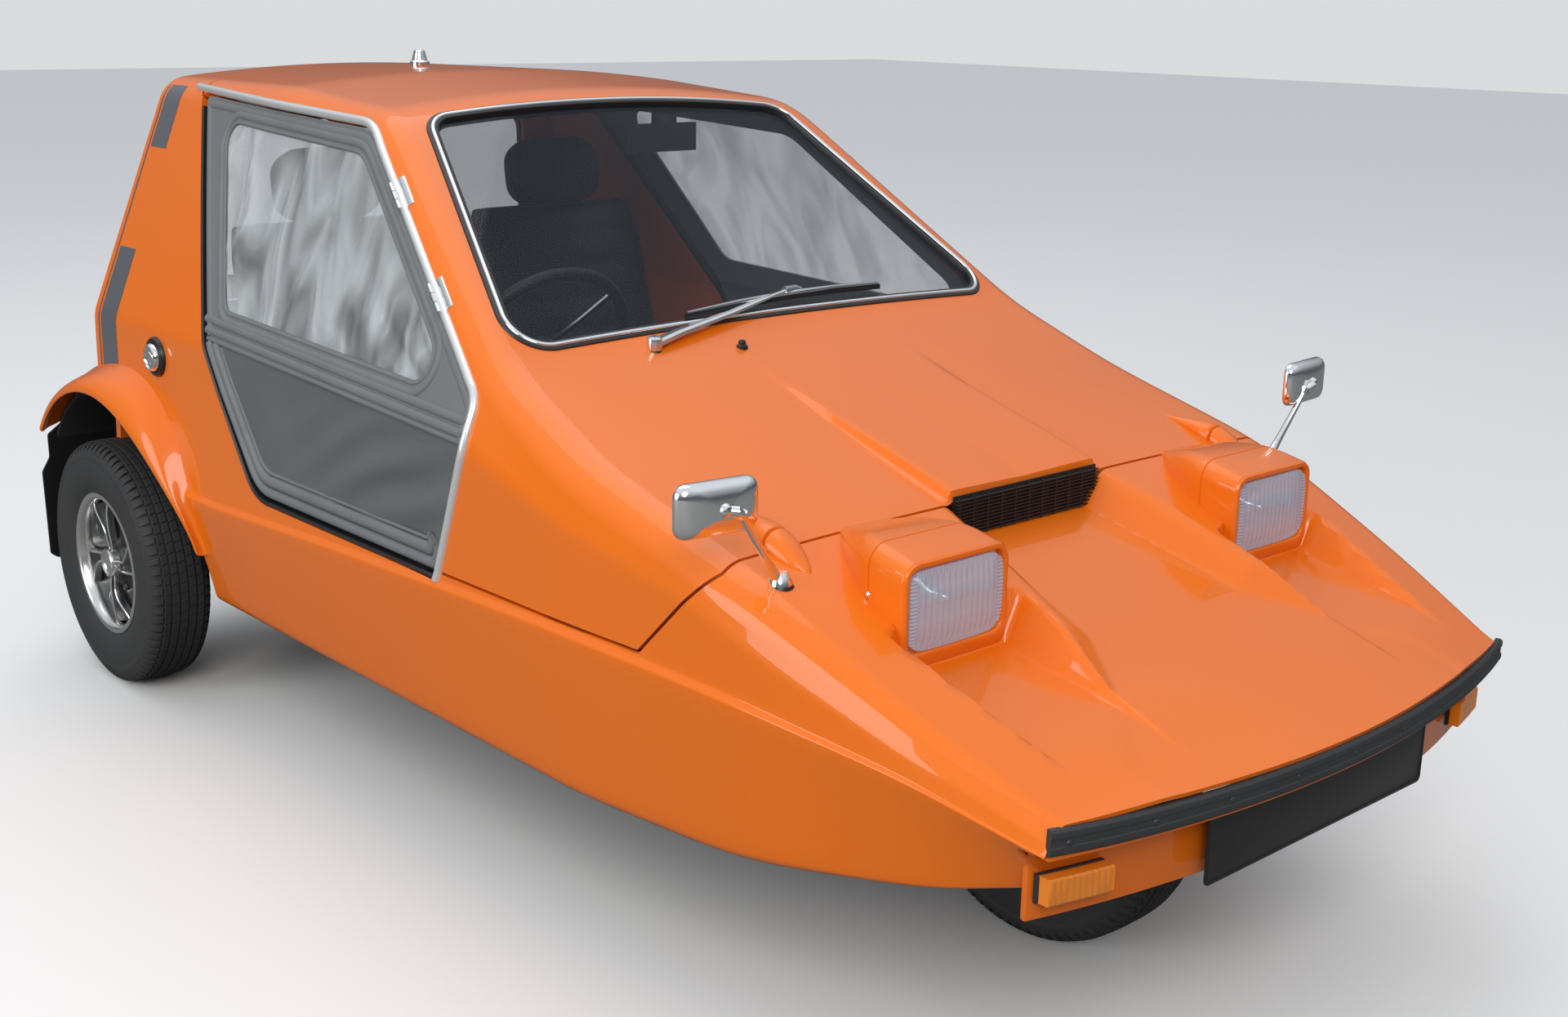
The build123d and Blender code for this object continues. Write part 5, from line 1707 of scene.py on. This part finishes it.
frontForm = {
    "half": 528,
    "middle": 455,
    "endRise": 3,
    "strip": [
        (-17, -3), (-17, 4.5), (-14, 7.4), (-11, 8), (-6, 7.6), (-4.5, 6.2),
        (4.5, 6.2), (6, 7.6), (11, 8), (14, 7.4), (17, 4.5), (17, -3),
    ],
    "rivets": 9,
    "rivetEnd": 26,
    # inner and outer x, low and high z, then how far the lens reaches ahead of and behind its seat
    "indicator": (412, 505, 362, 398, 18, 35),
    # half-width, low and high z, station
    "plate": (260, 328, 436, 36),
    "plateWall": 3,
    "valanceHalf": 526,
    "valanceZ": 441,
    "valance": [(0, 0), (0, -52), (106, -52), (106, -42), (9, -42), (9, 0)],
}


def noseRun(half, count, ahead, z):
    # Points along the nose's front arc, with the outward directions there
    radius = (noseEdge["half"] ** 2 + noseEdge["drop"] ** 2) / (2 * noseEdge["drop"])
    x = np.linspace(-half, half, count)
    outs = np.stack([x, -np.sqrt(radius**2 - x**2), 0 * x], axis=1) / radius
    points = np.stack([x, noseArcAt(x) + noseY, 0 * x + z], axis=1)
    return (points + outs * ahead) / 1000, outs


def makeFrontStrip():
    rise = frontForm["endRise"] * np.linspace(-1, 1, 70) ** 6
    run = noseRun(frontForm["half"], 70, 0.0, frontForm["middle"] + rise)
    return pieceMesh([sweep(*run, frontForm["strip"], False)], "rubber", 30)


def makeFrontRivets():
    half = frontForm["half"] - frontForm["rivetEnd"]
    run = noseRun(half, frontForm["rivets"], 6.0, frontForm["middle"])
    return studsOn(*run, domeMesh(5.2, 2.1), "steel")


def ribbedBlock(low, high, step, rib):
    # A block that follows the nose, with upright ribs ahead; low and high are (x, station, z)
    (x0, s0, z0), (x1, s1, z1) = low, high
    rings = []
    for x in np.linspace(x0, x1, max(4, int(abs(x1 - x0) / step) * 4) + 1):
        wave = rib * abs(math.sin(math.pi * (x - x0) / step))
        near, back = s0 + noseArcAt(x) - wave, s1 + noseArcAt(x)
        ring = [(near + 2, z0), (near, z0 + 3), (near, z1 - 3), (near + 2, z1), (back, z1), (back, z0)]
        rings.append([inFrame(x, station, z) for station, z in ring])
    return ringsToPart(rings)


def makeIndicators():
    x0, x1, z0, z1, near, distant = frontForm["indicator"]
    lens, base = [], []
    for side, _ in sides:
        low, high = sorted((side * x0, side * x1))
        lens.append(ribbedBlock((low, near, z0), (high, distant, z1), 9.0, 1.2))
        corners = (low - 1.5, distant - 1, z0 - 1.5), (high + 1.5, distant + 6, z1 + 1.5)
        base.append(ribbedBlock(*corners, 400.0, 0.0))
    addPiece("indicatorLenses", pieceMesh(lens, "amber", 30), "body", "amber_lens", "indicators")
    addPiece("indicatorBases", pieceMesh(base, "blackPlastic", 30), "body", "black_plastic")


def makeFrontPlate():
    half, low, high, station = frontForm["plate"]
    outline = roundedRectangle(half, low, high, 9, 0)
    part = crossPrism(outline, station, station + frontForm["plateWall"])
    rim = ringAt(station, roundedRectangle(half - 4, low + 4, high - 4, 7, 0))
    lip = sweep(rim, [(0, -1, 0)] * len(rim), beadProfile(1.4, 1.0, 0.4))
    addPiece("frontPlate", bevelled(pieceMesh([part], "plate"), 0.6, 2), "body", "plate", "front_plate")
    addPiece("frontPlateLip", pieceMesh([lip], "plate", 40), "body", "plate")


def makeValance():
    run = noseRun(frontForm["valanceHalf"], 60, 0.0, frontForm["valanceZ"])
    return bevelled(pieceMesh([sweep(*run, frontForm["valance"], False)], "paint", 30), 2.0, 2)


addPiece("frontStrip", makeFrontStrip(), "body", "rubber", "front_bumper")
addPiece("frontStripRivets", makeFrontRivets(), "body", "steel")
makeIndicators()
makeFrontPlate()
addPiece("valance", makeValance(), "body", "paint")
print("front end done")

# Mirrors on stalks

mirrorForm = {
    "foot": (551, 522, 668),
    "top": (628, 512, 776),
    "head": (652, 528, 786),
    "half": (62, 36),
    "corner": 17,
    "toeIn": 0.10,
    # share of the outline's size, and the place behind the middle
    "shell": (
        (0.10, -14.5), (0.45, -13.5), (0.72, -11), (0.88, -7), (0.965, -2), (1, 4), (1, 8),
        (0.985, 9.5), (0.95, 9.5), (0.945, 7.5), (0.1, 7),
    ),
    # share of the way up the stalk, and its radius there
    "stalk": ((0.06, 9.5), (0.12, 7), (0.30, 5.8), (0.62, 5), (0.94, 4.6)),
    "ball": [(-10, 0.2), (-8.5, 6), (-3, 9.8), (3, 9.8), (10, 7), (12, 0.2)],
    "base": [(-16, 0.2), (-16, 16.5), (2, 16), (6, 13), (10.5, 11), (12.5, 9), (12.5, 0.2)],
    "pad": [(-20, 0.2), (-20, 19.5), (-7, 19), (-4, 17), (-4, 0.2)],
}


def makeMirrors():
    form = mirrorForm
    x, station, z = form["head"]
    halfX, halfZ = form["half"]
    chrome, rubber = [], []
    for side, _ in sides:
        rings = []
        for share, behind in form["shell"]:
            corner = max(form["corner"] * share, 1.0)
            loop = roundedRectangle(halfX * share, z - halfZ * share, z + halfZ * share, corner, side * x, 7)
            toe = form["toeIn"] * side
            rings.append([inFrame(a, station + behind + (a - side * x) * toe, b) for a, b in loop])
        foot, top = (np.array(framePoint(form[key], side)) for key in ("foot", "top"))
        head = np.array(framePoint((x, station - 13, z), side))
        shares, radii = zip(*form["stalk"])
        stalk = [foot + (top - foot) * share for share in shares]
        neck = [top + (0, -3, 0), (top + head) / 2 + (0, -7, 3), head + (0, 1, 0)]
        chrome += [
            ringsToPart(rings),
            taperRod([*stalk, top + (0, -4, 6)], [*radii, 5.2]),
            taperRod(neck, [6.4, 8.0, 6.8]),
            revolve(form["ball"], 18, "Y", head),
            revolve(form["base"], 24, "Z", foot + (0, 0, 4)),
        ]
        rubber.append(revolve(form["pad"], 24, "Z", foot + (0, 0, 4)))
    addPiece("mirrorSet", pieceMesh(chrome, "chrome", 40), "body", "chrome", "mirrors")
    addPiece("mirrorPads", pieceMesh(rubber, "softRubber", 40), "body", "rubber")


makeMirrors()

# Screen hinges and the seals behind the screens

hingeForm = {
    "low": (587, 1263, 906.8),
    "high": (509.6, 1560, 1122.8),
    "shares": (0.16, 0.80),
    "knuckle": 21,
    "radius": 4,
    "leaf": 7,
    "leafHalf": 26,
}
openingSeal = {
    "inset": 4.2,
    "profile": [(-4, -24), (4, -24), (4, -1), (0, 1.2), (-4, -1)],
    "seam": ((1215, 1300, 2250, 2360), (521, 600, 1150, 1214)),
}


def makeKnuckles(side, starts):
    # Knuckles along the pillar's line, each from its start, counted from the hinge's middle
    form = hingeForm
    low, high = (np.array(framePoint(form[key], side)) for key in ("low", "high"))
    way = unit(high - low)
    parts = []
    for share in form["shares"]:
        middle = low + (high - low) * share
        for start in starts:
            points = [middle + way * (start + k) * form["knuckle"] for k in (0.04, 0.96)]
            parts.append(taperRod(points, [form["radius"]] * 2, 12))
    return parts


def makeHingeLeaf(side, share):
    (_, s0, z0), (_, s1, z1) = hingeForm["low"], hingeForm["high"]
    middle, half = s0 + (s1 - s0) * share, hingeForm["leafHalf"]
    stations = np.linspace(middle - half, middle + half, 6)
    loop = [(s - 5.5, z0 + (s - s0) * (z1 - z0) / (s1 - s0) + 8) for s in stations]
    return bead(loop, side, 0.0, hingeForm["leaf"], 2.2, False)


def makeOpeningSeals():
    parts = []
    for side, _ in sides:
        loop = openingLoop(openingSeal["inset"], 14)
        keep = [p[1] < np.interp(p[0], *openingSeal["seam"]) - 3 for p in loop]
        start = next(i for i in range(len(loop)) if keep[i] and not keep[i - 1])
        run = [p for p, kept in zip(np.roll(loop, -start, axis=0), np.roll(keep, -start)) if kept]
        parts.append(sweep(*onSide(run, side), openingSeal["profile"], False))
    return pieceMesh(parts, "softRubber")


hingeParts = [part for side, _ in sides for part in makeKnuckles(side, (-1.5, 0.5))]
leaves = [makeHingeLeaf(side, share) for side, _ in sides for share in hingeForm["shares"]]
leafMeshes = [pieceMesh([leaf], "brightTrim", 30) for leaf in leaves]
hingeMesh = mergedMesh([pieceMesh(hingeParts, "brightTrim", 30), *leafMeshes], "brightTrim")
addPiece("screenHinges", hingeMesh, "canopy", "steel", "screen_hinges")
for side, name in sides:
    mesh = pieceMesh(makeKnuckles(side, (-0.5,)), "brightTrim", 30)
    addPiece(f"{name}ScreenKnuckles", mesh, f"screen_{name}", "steel")
addPiece("openingSeals", makeOpeningSeals(), "body", "rubber")

# Filler, roof knob, wiper and washer jet

fillerForm = {
    "place": (2232, 716),  # station and z
    "ring": [(8, 26), (8, 39), (-4, 38.5), (-8, 36), (-9, 32), (-7, 28.5), (0, 26)],
    "cap": [
        (4, 0.2), (4, 27.5), (-9, 27.5), (-15, 26.2), (-18, 23.5), (-18, 21.5), (-15.5, 20.5), (-15.5, 12),
        (-17.5, 10.5), (-18, 0.2),
    ],
}
knobForm = {
    "station": 2281,
    "profile": [
        (1250, 0.2), (1250, 20.5), (1260, 20.5), (1261.8, 18.5), (1263.5, 16), (1278, 12.2), (1282.5, 11),
        (1284.5, 8.8), (1284.5, 0.2),
    ],
}
wiperForm = {
    # x, station, z, width and height along each bar
    "arm": (
        (-305, 1100, 873, 21, 11), (-250, 1110, 883, 19, 10), (-120, 1133, 899, 14, 7),
        (-10, 1152, 916, 10, 5), (44, 1161, 922, 9, 5),
    ),
    "hook": ((20, 1157, 921, 12, 12), (45, 1161, 921, 13, 13), (62, 1162, 917, 9, 10)),
    "back": (
        (-200, 1148, 905, 4, 4), (-90, 1152, 912, 6, 6), (25, 1156, 916, 9, 7), (140, 1160, 916, 6, 6),
        (250, 1163, 913, 4, 4),
    ),
    "blade": (
        (-204, 1147, 899, 4, 9), (-90, 1150, 905, 4, 9), (25, 1154, 909, 4, 9), (140, 1158, 909, 4, 9),
        (254, 1162, 906, 4, 9),
    ),
    "pivot": (-305, 1100),
    "cap": [(862, 0.2), (862, 11.5), (872, 13), (880, 12.5), (884, 9), (885, 0.2)],
    "boot": [(830, 0.2), (830, 16.5), (847.5, 16), (852, 12.5), (864, 11), (866.5, 9), (866.5, 0.2)],
    "jetPlace": (-150, 1068),
    "jet": [(-12, 0.2), (-12, 10), (3, 9.5), (5, 6.4), (10, 6.2), (12, 4), (12, 0.2)],
}


def makeFiller():
    station, z = fillerForm["place"]
    centre = framePoint((-float(sideX(station, z)), station, z))
    ring, cap = (revolve(fillerForm[key], 48, "X", centre) for key in ("ring", "cap"))
    addPiece("fillerRing", pieceMesh([ring], "softRubber"), "body", "rubber")
    addPiece("fillerCap", pieceMesh([cap], "chrome", 30), "body", "chrome", "fuel_cap")


def makeWiper():
    form = wiperForm
    x, station = form["pivot"]
    pivot = framePoint((x, station, 0))
    jetX, jetStation = form["jetPlace"]
    jetFoot = framePoint((jetX, jetStation, float(topZ(jetX, jetStation))))
    bright = [flatBar(form[key]) for key in ("arm", "hook", "back")]
    bright.append(revolve(form["cap"], 20, "Z", pivot))
    dark = [flatBar(form["blade"]), revolve(form["boot"], 24, "Z", pivot)]
    dark.append(revolve(form["jet"], 18, "Z", jetFoot))
    addPiece("wiperArm", pieceMesh(bright, "brightTrim", 30), "canopy", "steel", "wiper")
    addPiece("wiperRubber", pieceMesh(dark, "softRubber"), "canopy", "rubber")


makeFiller()
knob = revolve(knobForm["profile"], 28, "Z", framePoint((0, knobForm["station"], 0)))
addPiece("roofKnob", pieceMesh([knob], "chrome", 30), "canopy", "chrome", "roof_knob")
makeWiper()
print("mirrors and wiper done")

# Slot grille

grilleForm = {
    "half": 162,
    "low": 645,
    "high": 704,
    "station": 573,
    "bars": 11,
    "barHalf": 0.8,
    "uprights": 11,
    "uprightHalf": 1,
}


def makeGrille():
    form = grilleForm
    half, low, high, front = (form[key] for key in ("half", "low", "high", "station"))
    wide, tall = half / 1000, (high - low) / 2000
    barHalf, postHalf = form["barHalf"] / 1000, form["uprightHalf"] / 1000
    bar = pieceMesh([boxPart((-wide, 0, -barHalf), (wide, 0.004, barHalf))], "blackPlastic")
    post = pieceMesh([boxPart((-postHalf, 0.001, -tall), (postHalf, 0.0045, tall))], "blackPlastic")
    heights = [inFrame(0, front, z) for z in np.linspace(low + 3, high - 3, form["bars"])]
    middle = (low + high) / 2
    places = [inFrame(x, front, middle) for x in np.linspace(-half + 8, half - 8, form["uprights"])]
    runs = ((heights, bar), (places, post))
    meshes = [studsOn(run, [(0, 0, 1)] * len(run), stud, "blackPlastic") for run, stud in runs]
    back = boxPart(inFrame(-half, front + 7, low - 4), inFrame(half, front + 9, high + 3))
    return mergedMesh([*meshes, pieceMesh([back], "lining")], "blackPlastic")


addPiece("grille", makeGrille(), "body", "black_plastic", "slot_grille")

# Hinge blisters on the nose's shoulders

blisterForm = {
    # station, x, half-width, height over the skin
    "nose": (
        (519, 498, 2, 1), (530, 498, 9, 7), (545, 498, 17, 15), (565, 497, 23, 22), (583, 497, 25, 25),
        (588, 497, 25, 25), (589, 497, 23, 23),
    ),
    "canopy": (
        (593, 497, 23, 23), (594, 497, 25, 25), (600, 496, 25, 25), (620, 494, 22, 21), (645, 490, 15, 14),
        (670, 485, 7, 7), (689, 482, 2, 1),
    ),
}


def makeBlisters(rows):
    turns = np.linspace(0, math.pi, 15)
    parts = []
    for side, _ in sides:
        rings = []
        for station, x, half, height in rows:
            slope = float(topZ(x + 8, station) - topZ(x - 8, station)) / 16
            ring = [(half * math.cos(turn), height * math.sin(turn) ** 0.8 - 2) for turn in turns]
            ring += [(-0.6 * half, -14), (0.6 * half, -14)]
            base = float(topZ(x, station))
            heights = [base + slope * a * 1.1 + rise for a, rise in ring]
            rings.append([inFrame(side * (x + a), station, z) for (a, _), z in zip(ring, heights)])
        parts.append(ringsToPart(rings))
    return pieceMesh(parts, "paint", 50)


addPiece("noseBlisters", makeBlisters(blisterForm["nose"]), "body", "paint")
addPiece("canopyBlisters", makeBlisters(blisterForm["canopy"]), "canopy", "paint")

# Stripes on the rear quarters, with a plain gap in the broad one

stripeForm = {
    "band": ((2424, 2498), (2420, 2492)),  # front and rear edge at the top and at the foot
    "line": ((2506, 2511), (2500, 2505)),
    "top": 1212,
    "foot": 660,
    "gap": (898, 1092),
    "proud": 0.7,
    "wall": 0.4,
}


def stripeLoop(edges, low, high):
    corners = []
    for k, z in ((0, low), (1, low), (1, high), (0, high)):
        share = (z - stripeForm["foot"]) / (stripeForm["top"] - stripeForm["foot"])
        corners.append((edges[1][k] + (edges[0][k] - edges[1][k]) * share, z))
    return corners


def makeStripes():
    form = stripeForm
    low, high = form["gap"]
    runs = (("band", form["foot"], low), ("band", high, form["top"]), ("line", form["foot"], form["top"]))
    parts = []
    for side, _ in sides:
        for key, low, high in runs:
            loop = stripeLoop(form[key], low, high)
            stations = [p[0] for p in loop]
            grid = ((min(stations) - 4, max(stations) + 4), (low - 3, high + 3), 9.0)
            parts.append(sidePatch(side, [(loop, True)], grid, -form["proud"], form["wall"], "stripe"))
    return mergedMesh(parts, "stripe")


addPiece("quarterStripes", makeStripes(), "body", "paint")
print("grille, blisters and stripes done")

# Mudflaps, rear lamps, bumper and small parts

rearForm = {
    "face": 2503,
    "flap": [(534, 205), (676, 205), (690, 216), (692, 398), (674, 428), (674, 478), (632, 508), (534, 508)],
    "flapCorners": [18, 14, 10, 12, 12, 10, 6, 4],
    "flapStations": (2722.5, 2727.5),
    # inner and outer x, low and high z
    "lamp": (442, 512, 492, 628),
    # growth of the outline, and the place behind the face
    "lampBase": ((0, -1), (0, 7), (-1, 8)),
    "lampLens": ((-2, 7), (-2, 24), (-3.5, 28), (-7, 30.5), (-14, 31.5)),
    "lampCorner": 10,
    "lampBars": 11,
    "lampBar": (9, 12, 1.2),  # from the lamp's sides, from its ends, and half its height
    "bumperHalf": 560,
    "bumper": [
        (2740, 345), (2776, 345), (2786, 355), (2786, 363), (2781, 366), (2781, 374), (2786, 377),
        (2786, 385), (2776, 395), (2740, 395),
    ],
    # half-width, low z, high z and corner of the window's seal
    "seal": (397, 807, 1145, 50),
    "sealProfile": [(-11, -12), (-11, 1), (-8, 4.5), (4, 5), (9, 2.5), (11, -2), (11, -12)],
}


def makeMudflaps():
    loop = roundLoop(rearForm["flap"], rearForm["flapCorners"])
    parts = [crossPrism(loop * (side, 1), *rearForm["flapStations"]) for side, _ in sides]
    return pieceMesh(parts, "softRubber", 30)


def makeTailLamps():
    form = rearForm
    inner, outer, low, high = form["lamp"]
    face, half = form["face"], (outer - inner) / 2
    lenses, bases = [], []
    for side, _ in sides:
        middle = side * (inner + outer) / 2
        for rows, parts in ((form["lampBase"], bases), (form["lampLens"], lenses)):
            rings = []
            for grow, behind in rows:
                corner = form["lampCorner"] + (0 if rows is form["lampBase"] else max(grow, -8))
                loop = roundedRectangle(half + grow, low - grow, high + grow, corner, middle)
                rings.append(ringAt(face + behind, loop))
            parts.append(ringsToPart(rings))
        beside, end, thick = form["lampBar"]
        left, right = middle - half + beside, middle + half - beside
        for z in np.linspace(low + end, high - end, form["lampBars"]):
            corners = inFrame(left, face + 30, z - thick), inFrame(right, face + 32, z + thick)
            lenses.append(boxPart(*corners))
    addPiece("tailLenses", pieceMesh(lenses, "red"), "body", "red_lens", "tail_lamps")
    addPiece("tailBases", pieceMesh(bases, "blackPlastic"), "body", "black_plastic")


def makeRearBumper():
    part = prism(rearForm["bumper"], -rearForm["bumperHalf"], rearForm["bumperHalf"])
    return bevelled(pieceMesh([part], "rubber"), 4.0)


def makeRearSeal():
    path = ringAt(rearForm["face"], roundedRectangle(*rearForm["seal"], 0))
    return pieceMesh([sweep(path, [(0, 1, 0)] * len(path), rearForm["sealProfile"])], "softRubber", 40)


def makePodScrews():
    places, outs = [], []
    for side, _ in sides:
        for station in (podForm["seam"], 500.0):
            half = softRow(station, 16)[0]
            places.append(inFrame(side * (podForm["x"] + half - 0.4), station, 652.0))
            outs.append((side, 0, 0))
    return studsOn(places, outs, domeMesh(4.8, 2.6, 4, 16), "brightTrim")


addPiece("mudflapPair", makeMudflaps(), "body", "rubber", "mudflaps")
makeTailLamps()
addPiece("rearBumper", makeRearBumper(), "body", "rubber", "rear_bumper")
addPiece("rearWindowSeal", makeRearSeal(), "body", "rubber")
addPiece("podScrews", makePodScrews(), "body", "steel")
print("rear end done")

# Seats and steering wheel

seatForm = {
    "x": 272,
    "half": 212,
    "lean": 17,
    # station, z and thickness up the squab, then along the cushion
    "squab": (
        (2040, 405, 88), (2058, 470, 92), (2098, 600, 92), (2138, 740, 86), (2172, 860, 74), (2192, 930, 62),
        (2200, 958, 40),
    ),
    "cushion": (
        (1566, 372, 170), (1590, 377, 186), (1700, 372, 184), (1850, 362, 168), (2000, 356, 152),
        (2060, 353, 146),
    ),
    "pleats": 8,
    "pleatDepth": 5,
    "crown": 12,
    "headrest": ((2188, 962), (2208, 1096)),  # station and z at its foot and top
    "headrestHalf": (114, 34),
}


def squareRound(turn, powerA, powerB):
    # A point on a circle that is pushed out towards its square
    c, s = math.cos(turn), math.sin(turn)
    return math.copysign(abs(c) ** powerA, c), math.copysign(abs(s) ** powerB, s)


def padRings(rows, plane):
    # A pad along a run of rows, with pleats sewn across its front
    half, raised = seatForm["half"], seatForm["crown"]
    rows = np.array(rows, float)
    reach = np.concatenate([[0], np.cumsum(np.linalg.norm(np.diff(rows[:, :2], axis=0), axis=1))])
    rings = []
    for share in np.linspace(0, 1, 90):
        station, z, thick = (np.interp(share * reach[-1], reach, column) for column in rows.T)
        pleat = seatForm["pleatDepth"] * abs(math.sin(math.pi * share * seatForm["pleats"])) ** 0.55
        crown = min(1.0, 8 * share, 8 * (1 - share)) ** 0.5
        ring = []
        for turn in turnsRound(56):
            a, b = squareRound(turn, 0.28, 0.45)
            across, depth = half * a * (0.93 + 0.07 * crown), thick / 2 * b
            if math.sin(turn) > 0:
                middle = max(0.0, 1 - (abs(across) / (half * 0.84)) ** 6)
                depth += pleat * middle + raised * (crown * max(0.0, 1 - (across / half) ** 2) - 1)
            ring.append(plane(across, station, z, depth))
        rings.append(ring)
    return ringsToPart(rings)


def headrestRings(plane):
    (s0, z0), (s1, z1) = seatForm["headrest"]
    halfX, halfDepth = seatForm["headrestHalf"]
    rings = []
    for share in np.linspace(0, 1, 22):
        fall = 1 - abs(2 * share - 1) ** 4 * 0.35
        ring = []
        for turn in turnsRound(36):
            a, b = squareRound(turn, 0.4, 0.6)
            station, z = s0 + (s1 - s0) * share, z0 + (z1 - z0) * share
            ring.append(plane(halfX * fall * a, station, z, halfDepth * fall * b))
        rings.append(ring)
    return ringsToPart(rings)


def makeSeats():
    lean = math.radians(seatForm["lean"])
    back, rise = math.cos(lean), math.sin(lean)
    parts = []
    for side, _ in sides:
        x = side * seatForm["x"]
        squab = lambda a, s, z, d: inFrame(x + a, s - d * back, z + d * rise)
        cushion = lambda a, s, z, d: inFrame(x + a, s, z + d)
        parts += [padRings(seatForm["squab"], squab), padRings(seatForm["cushion"], cushion)]
        parts.append(headrestRings(squab))
    return pieceMesh(parts, "seatVinyl", 50)


handWheelForm = {
    "centre": (-300, 1432, 800),
    "tilt": 28,
    "ring": 172,
    "grip": 11,
    "hub": [(-22, 0.2), (-22, 36), (6, 37.5), (14, 33), (19, 20), (20, 0.2)],
    "spokes": 4,
    # radius, half-width and lift along a spoke
    "spoke": ((30, 6.2, 4), (98, 4.8, 1), (166, 5.8, 0)),
    "spokeHalf": 2.2,
}


def makeHandWheel():
    form = handWheelForm
    thick = form["spokeHalf"]
    circle = [onCircle(form["grip"], turn) for turn in turnsRound(16)]
    section = [(a, form["ring"] + b) for a, b in circle]
    black = [revolve(section, 72, "Z"), revolve(form["hub"], 36, "Z")]
    bright = []
    for k in range(form["spokes"]):
        turn = math.radians(45 + 90 * k)
        out, beside = np.array((onCircle(1, turn), onCircle(1, turn + math.pi / 2)))
        rings = []
        for radius, half, lift in form["spoke"]:
            ways = ((-half, -thick), (half, -thick), (half, thick), (-half, thick))
            rings.append([(*(out * radius + beside * a) / 1000, (lift + b) / 1000) for a, b in ways])
        bright.append(ringsToPart(rings))
    normal, across = Vector((0, *onCircle(1, math.radians(form["tilt"])))), Vector((1, 0, 0))
    turned = Matrix((across, normal.cross(across), normal)).transposed().to_4x4()
    rim, arms = pieceMesh(black, "blackPlastic", 40), pieceMesh(bright, "brightTrim", 30)
    for mesh in (rim, arms):
        mesh.transform(Matrix.Translation(inFrame(*form["centre"])) @ turned)
    addPiece("handWheel", rim, "hand_wheel", "black_plastic", "steering_wheel")
    addPiece("handWheelSpokes", arms, "hand_wheel", "steel")


addPiece("seatPair", makeSeats(), "body", "seat_vinyl", "seats")
makeHandWheel()
print("cabin done")

# Finishes of the CAD nodes that stay

nodeFinish = {
    "paint": ("luggage_flap",),
    "lining": ("floor_pan", "engine_cover"),
    "glass": ("rear_window",),
    "plate": ("rear_plate",),
    "blackPlastic": ("dash_and_column", "cabin_mirror"),
    "steel": ("flap_hinges", "rear_axle", "front_fork", "chassis_frame", "engine_block", "silencer"),
}
for look, names in nodeFinish.items():
    for name in names:
        nodes[name].data.materials.clear()
        nodes[name].data.materials.append(finish[look])

makeFloor()
placeCamera()
lightStudio()
bpy.context.scene.view_settings.view_transform = "Standard"
print("camera and light set")
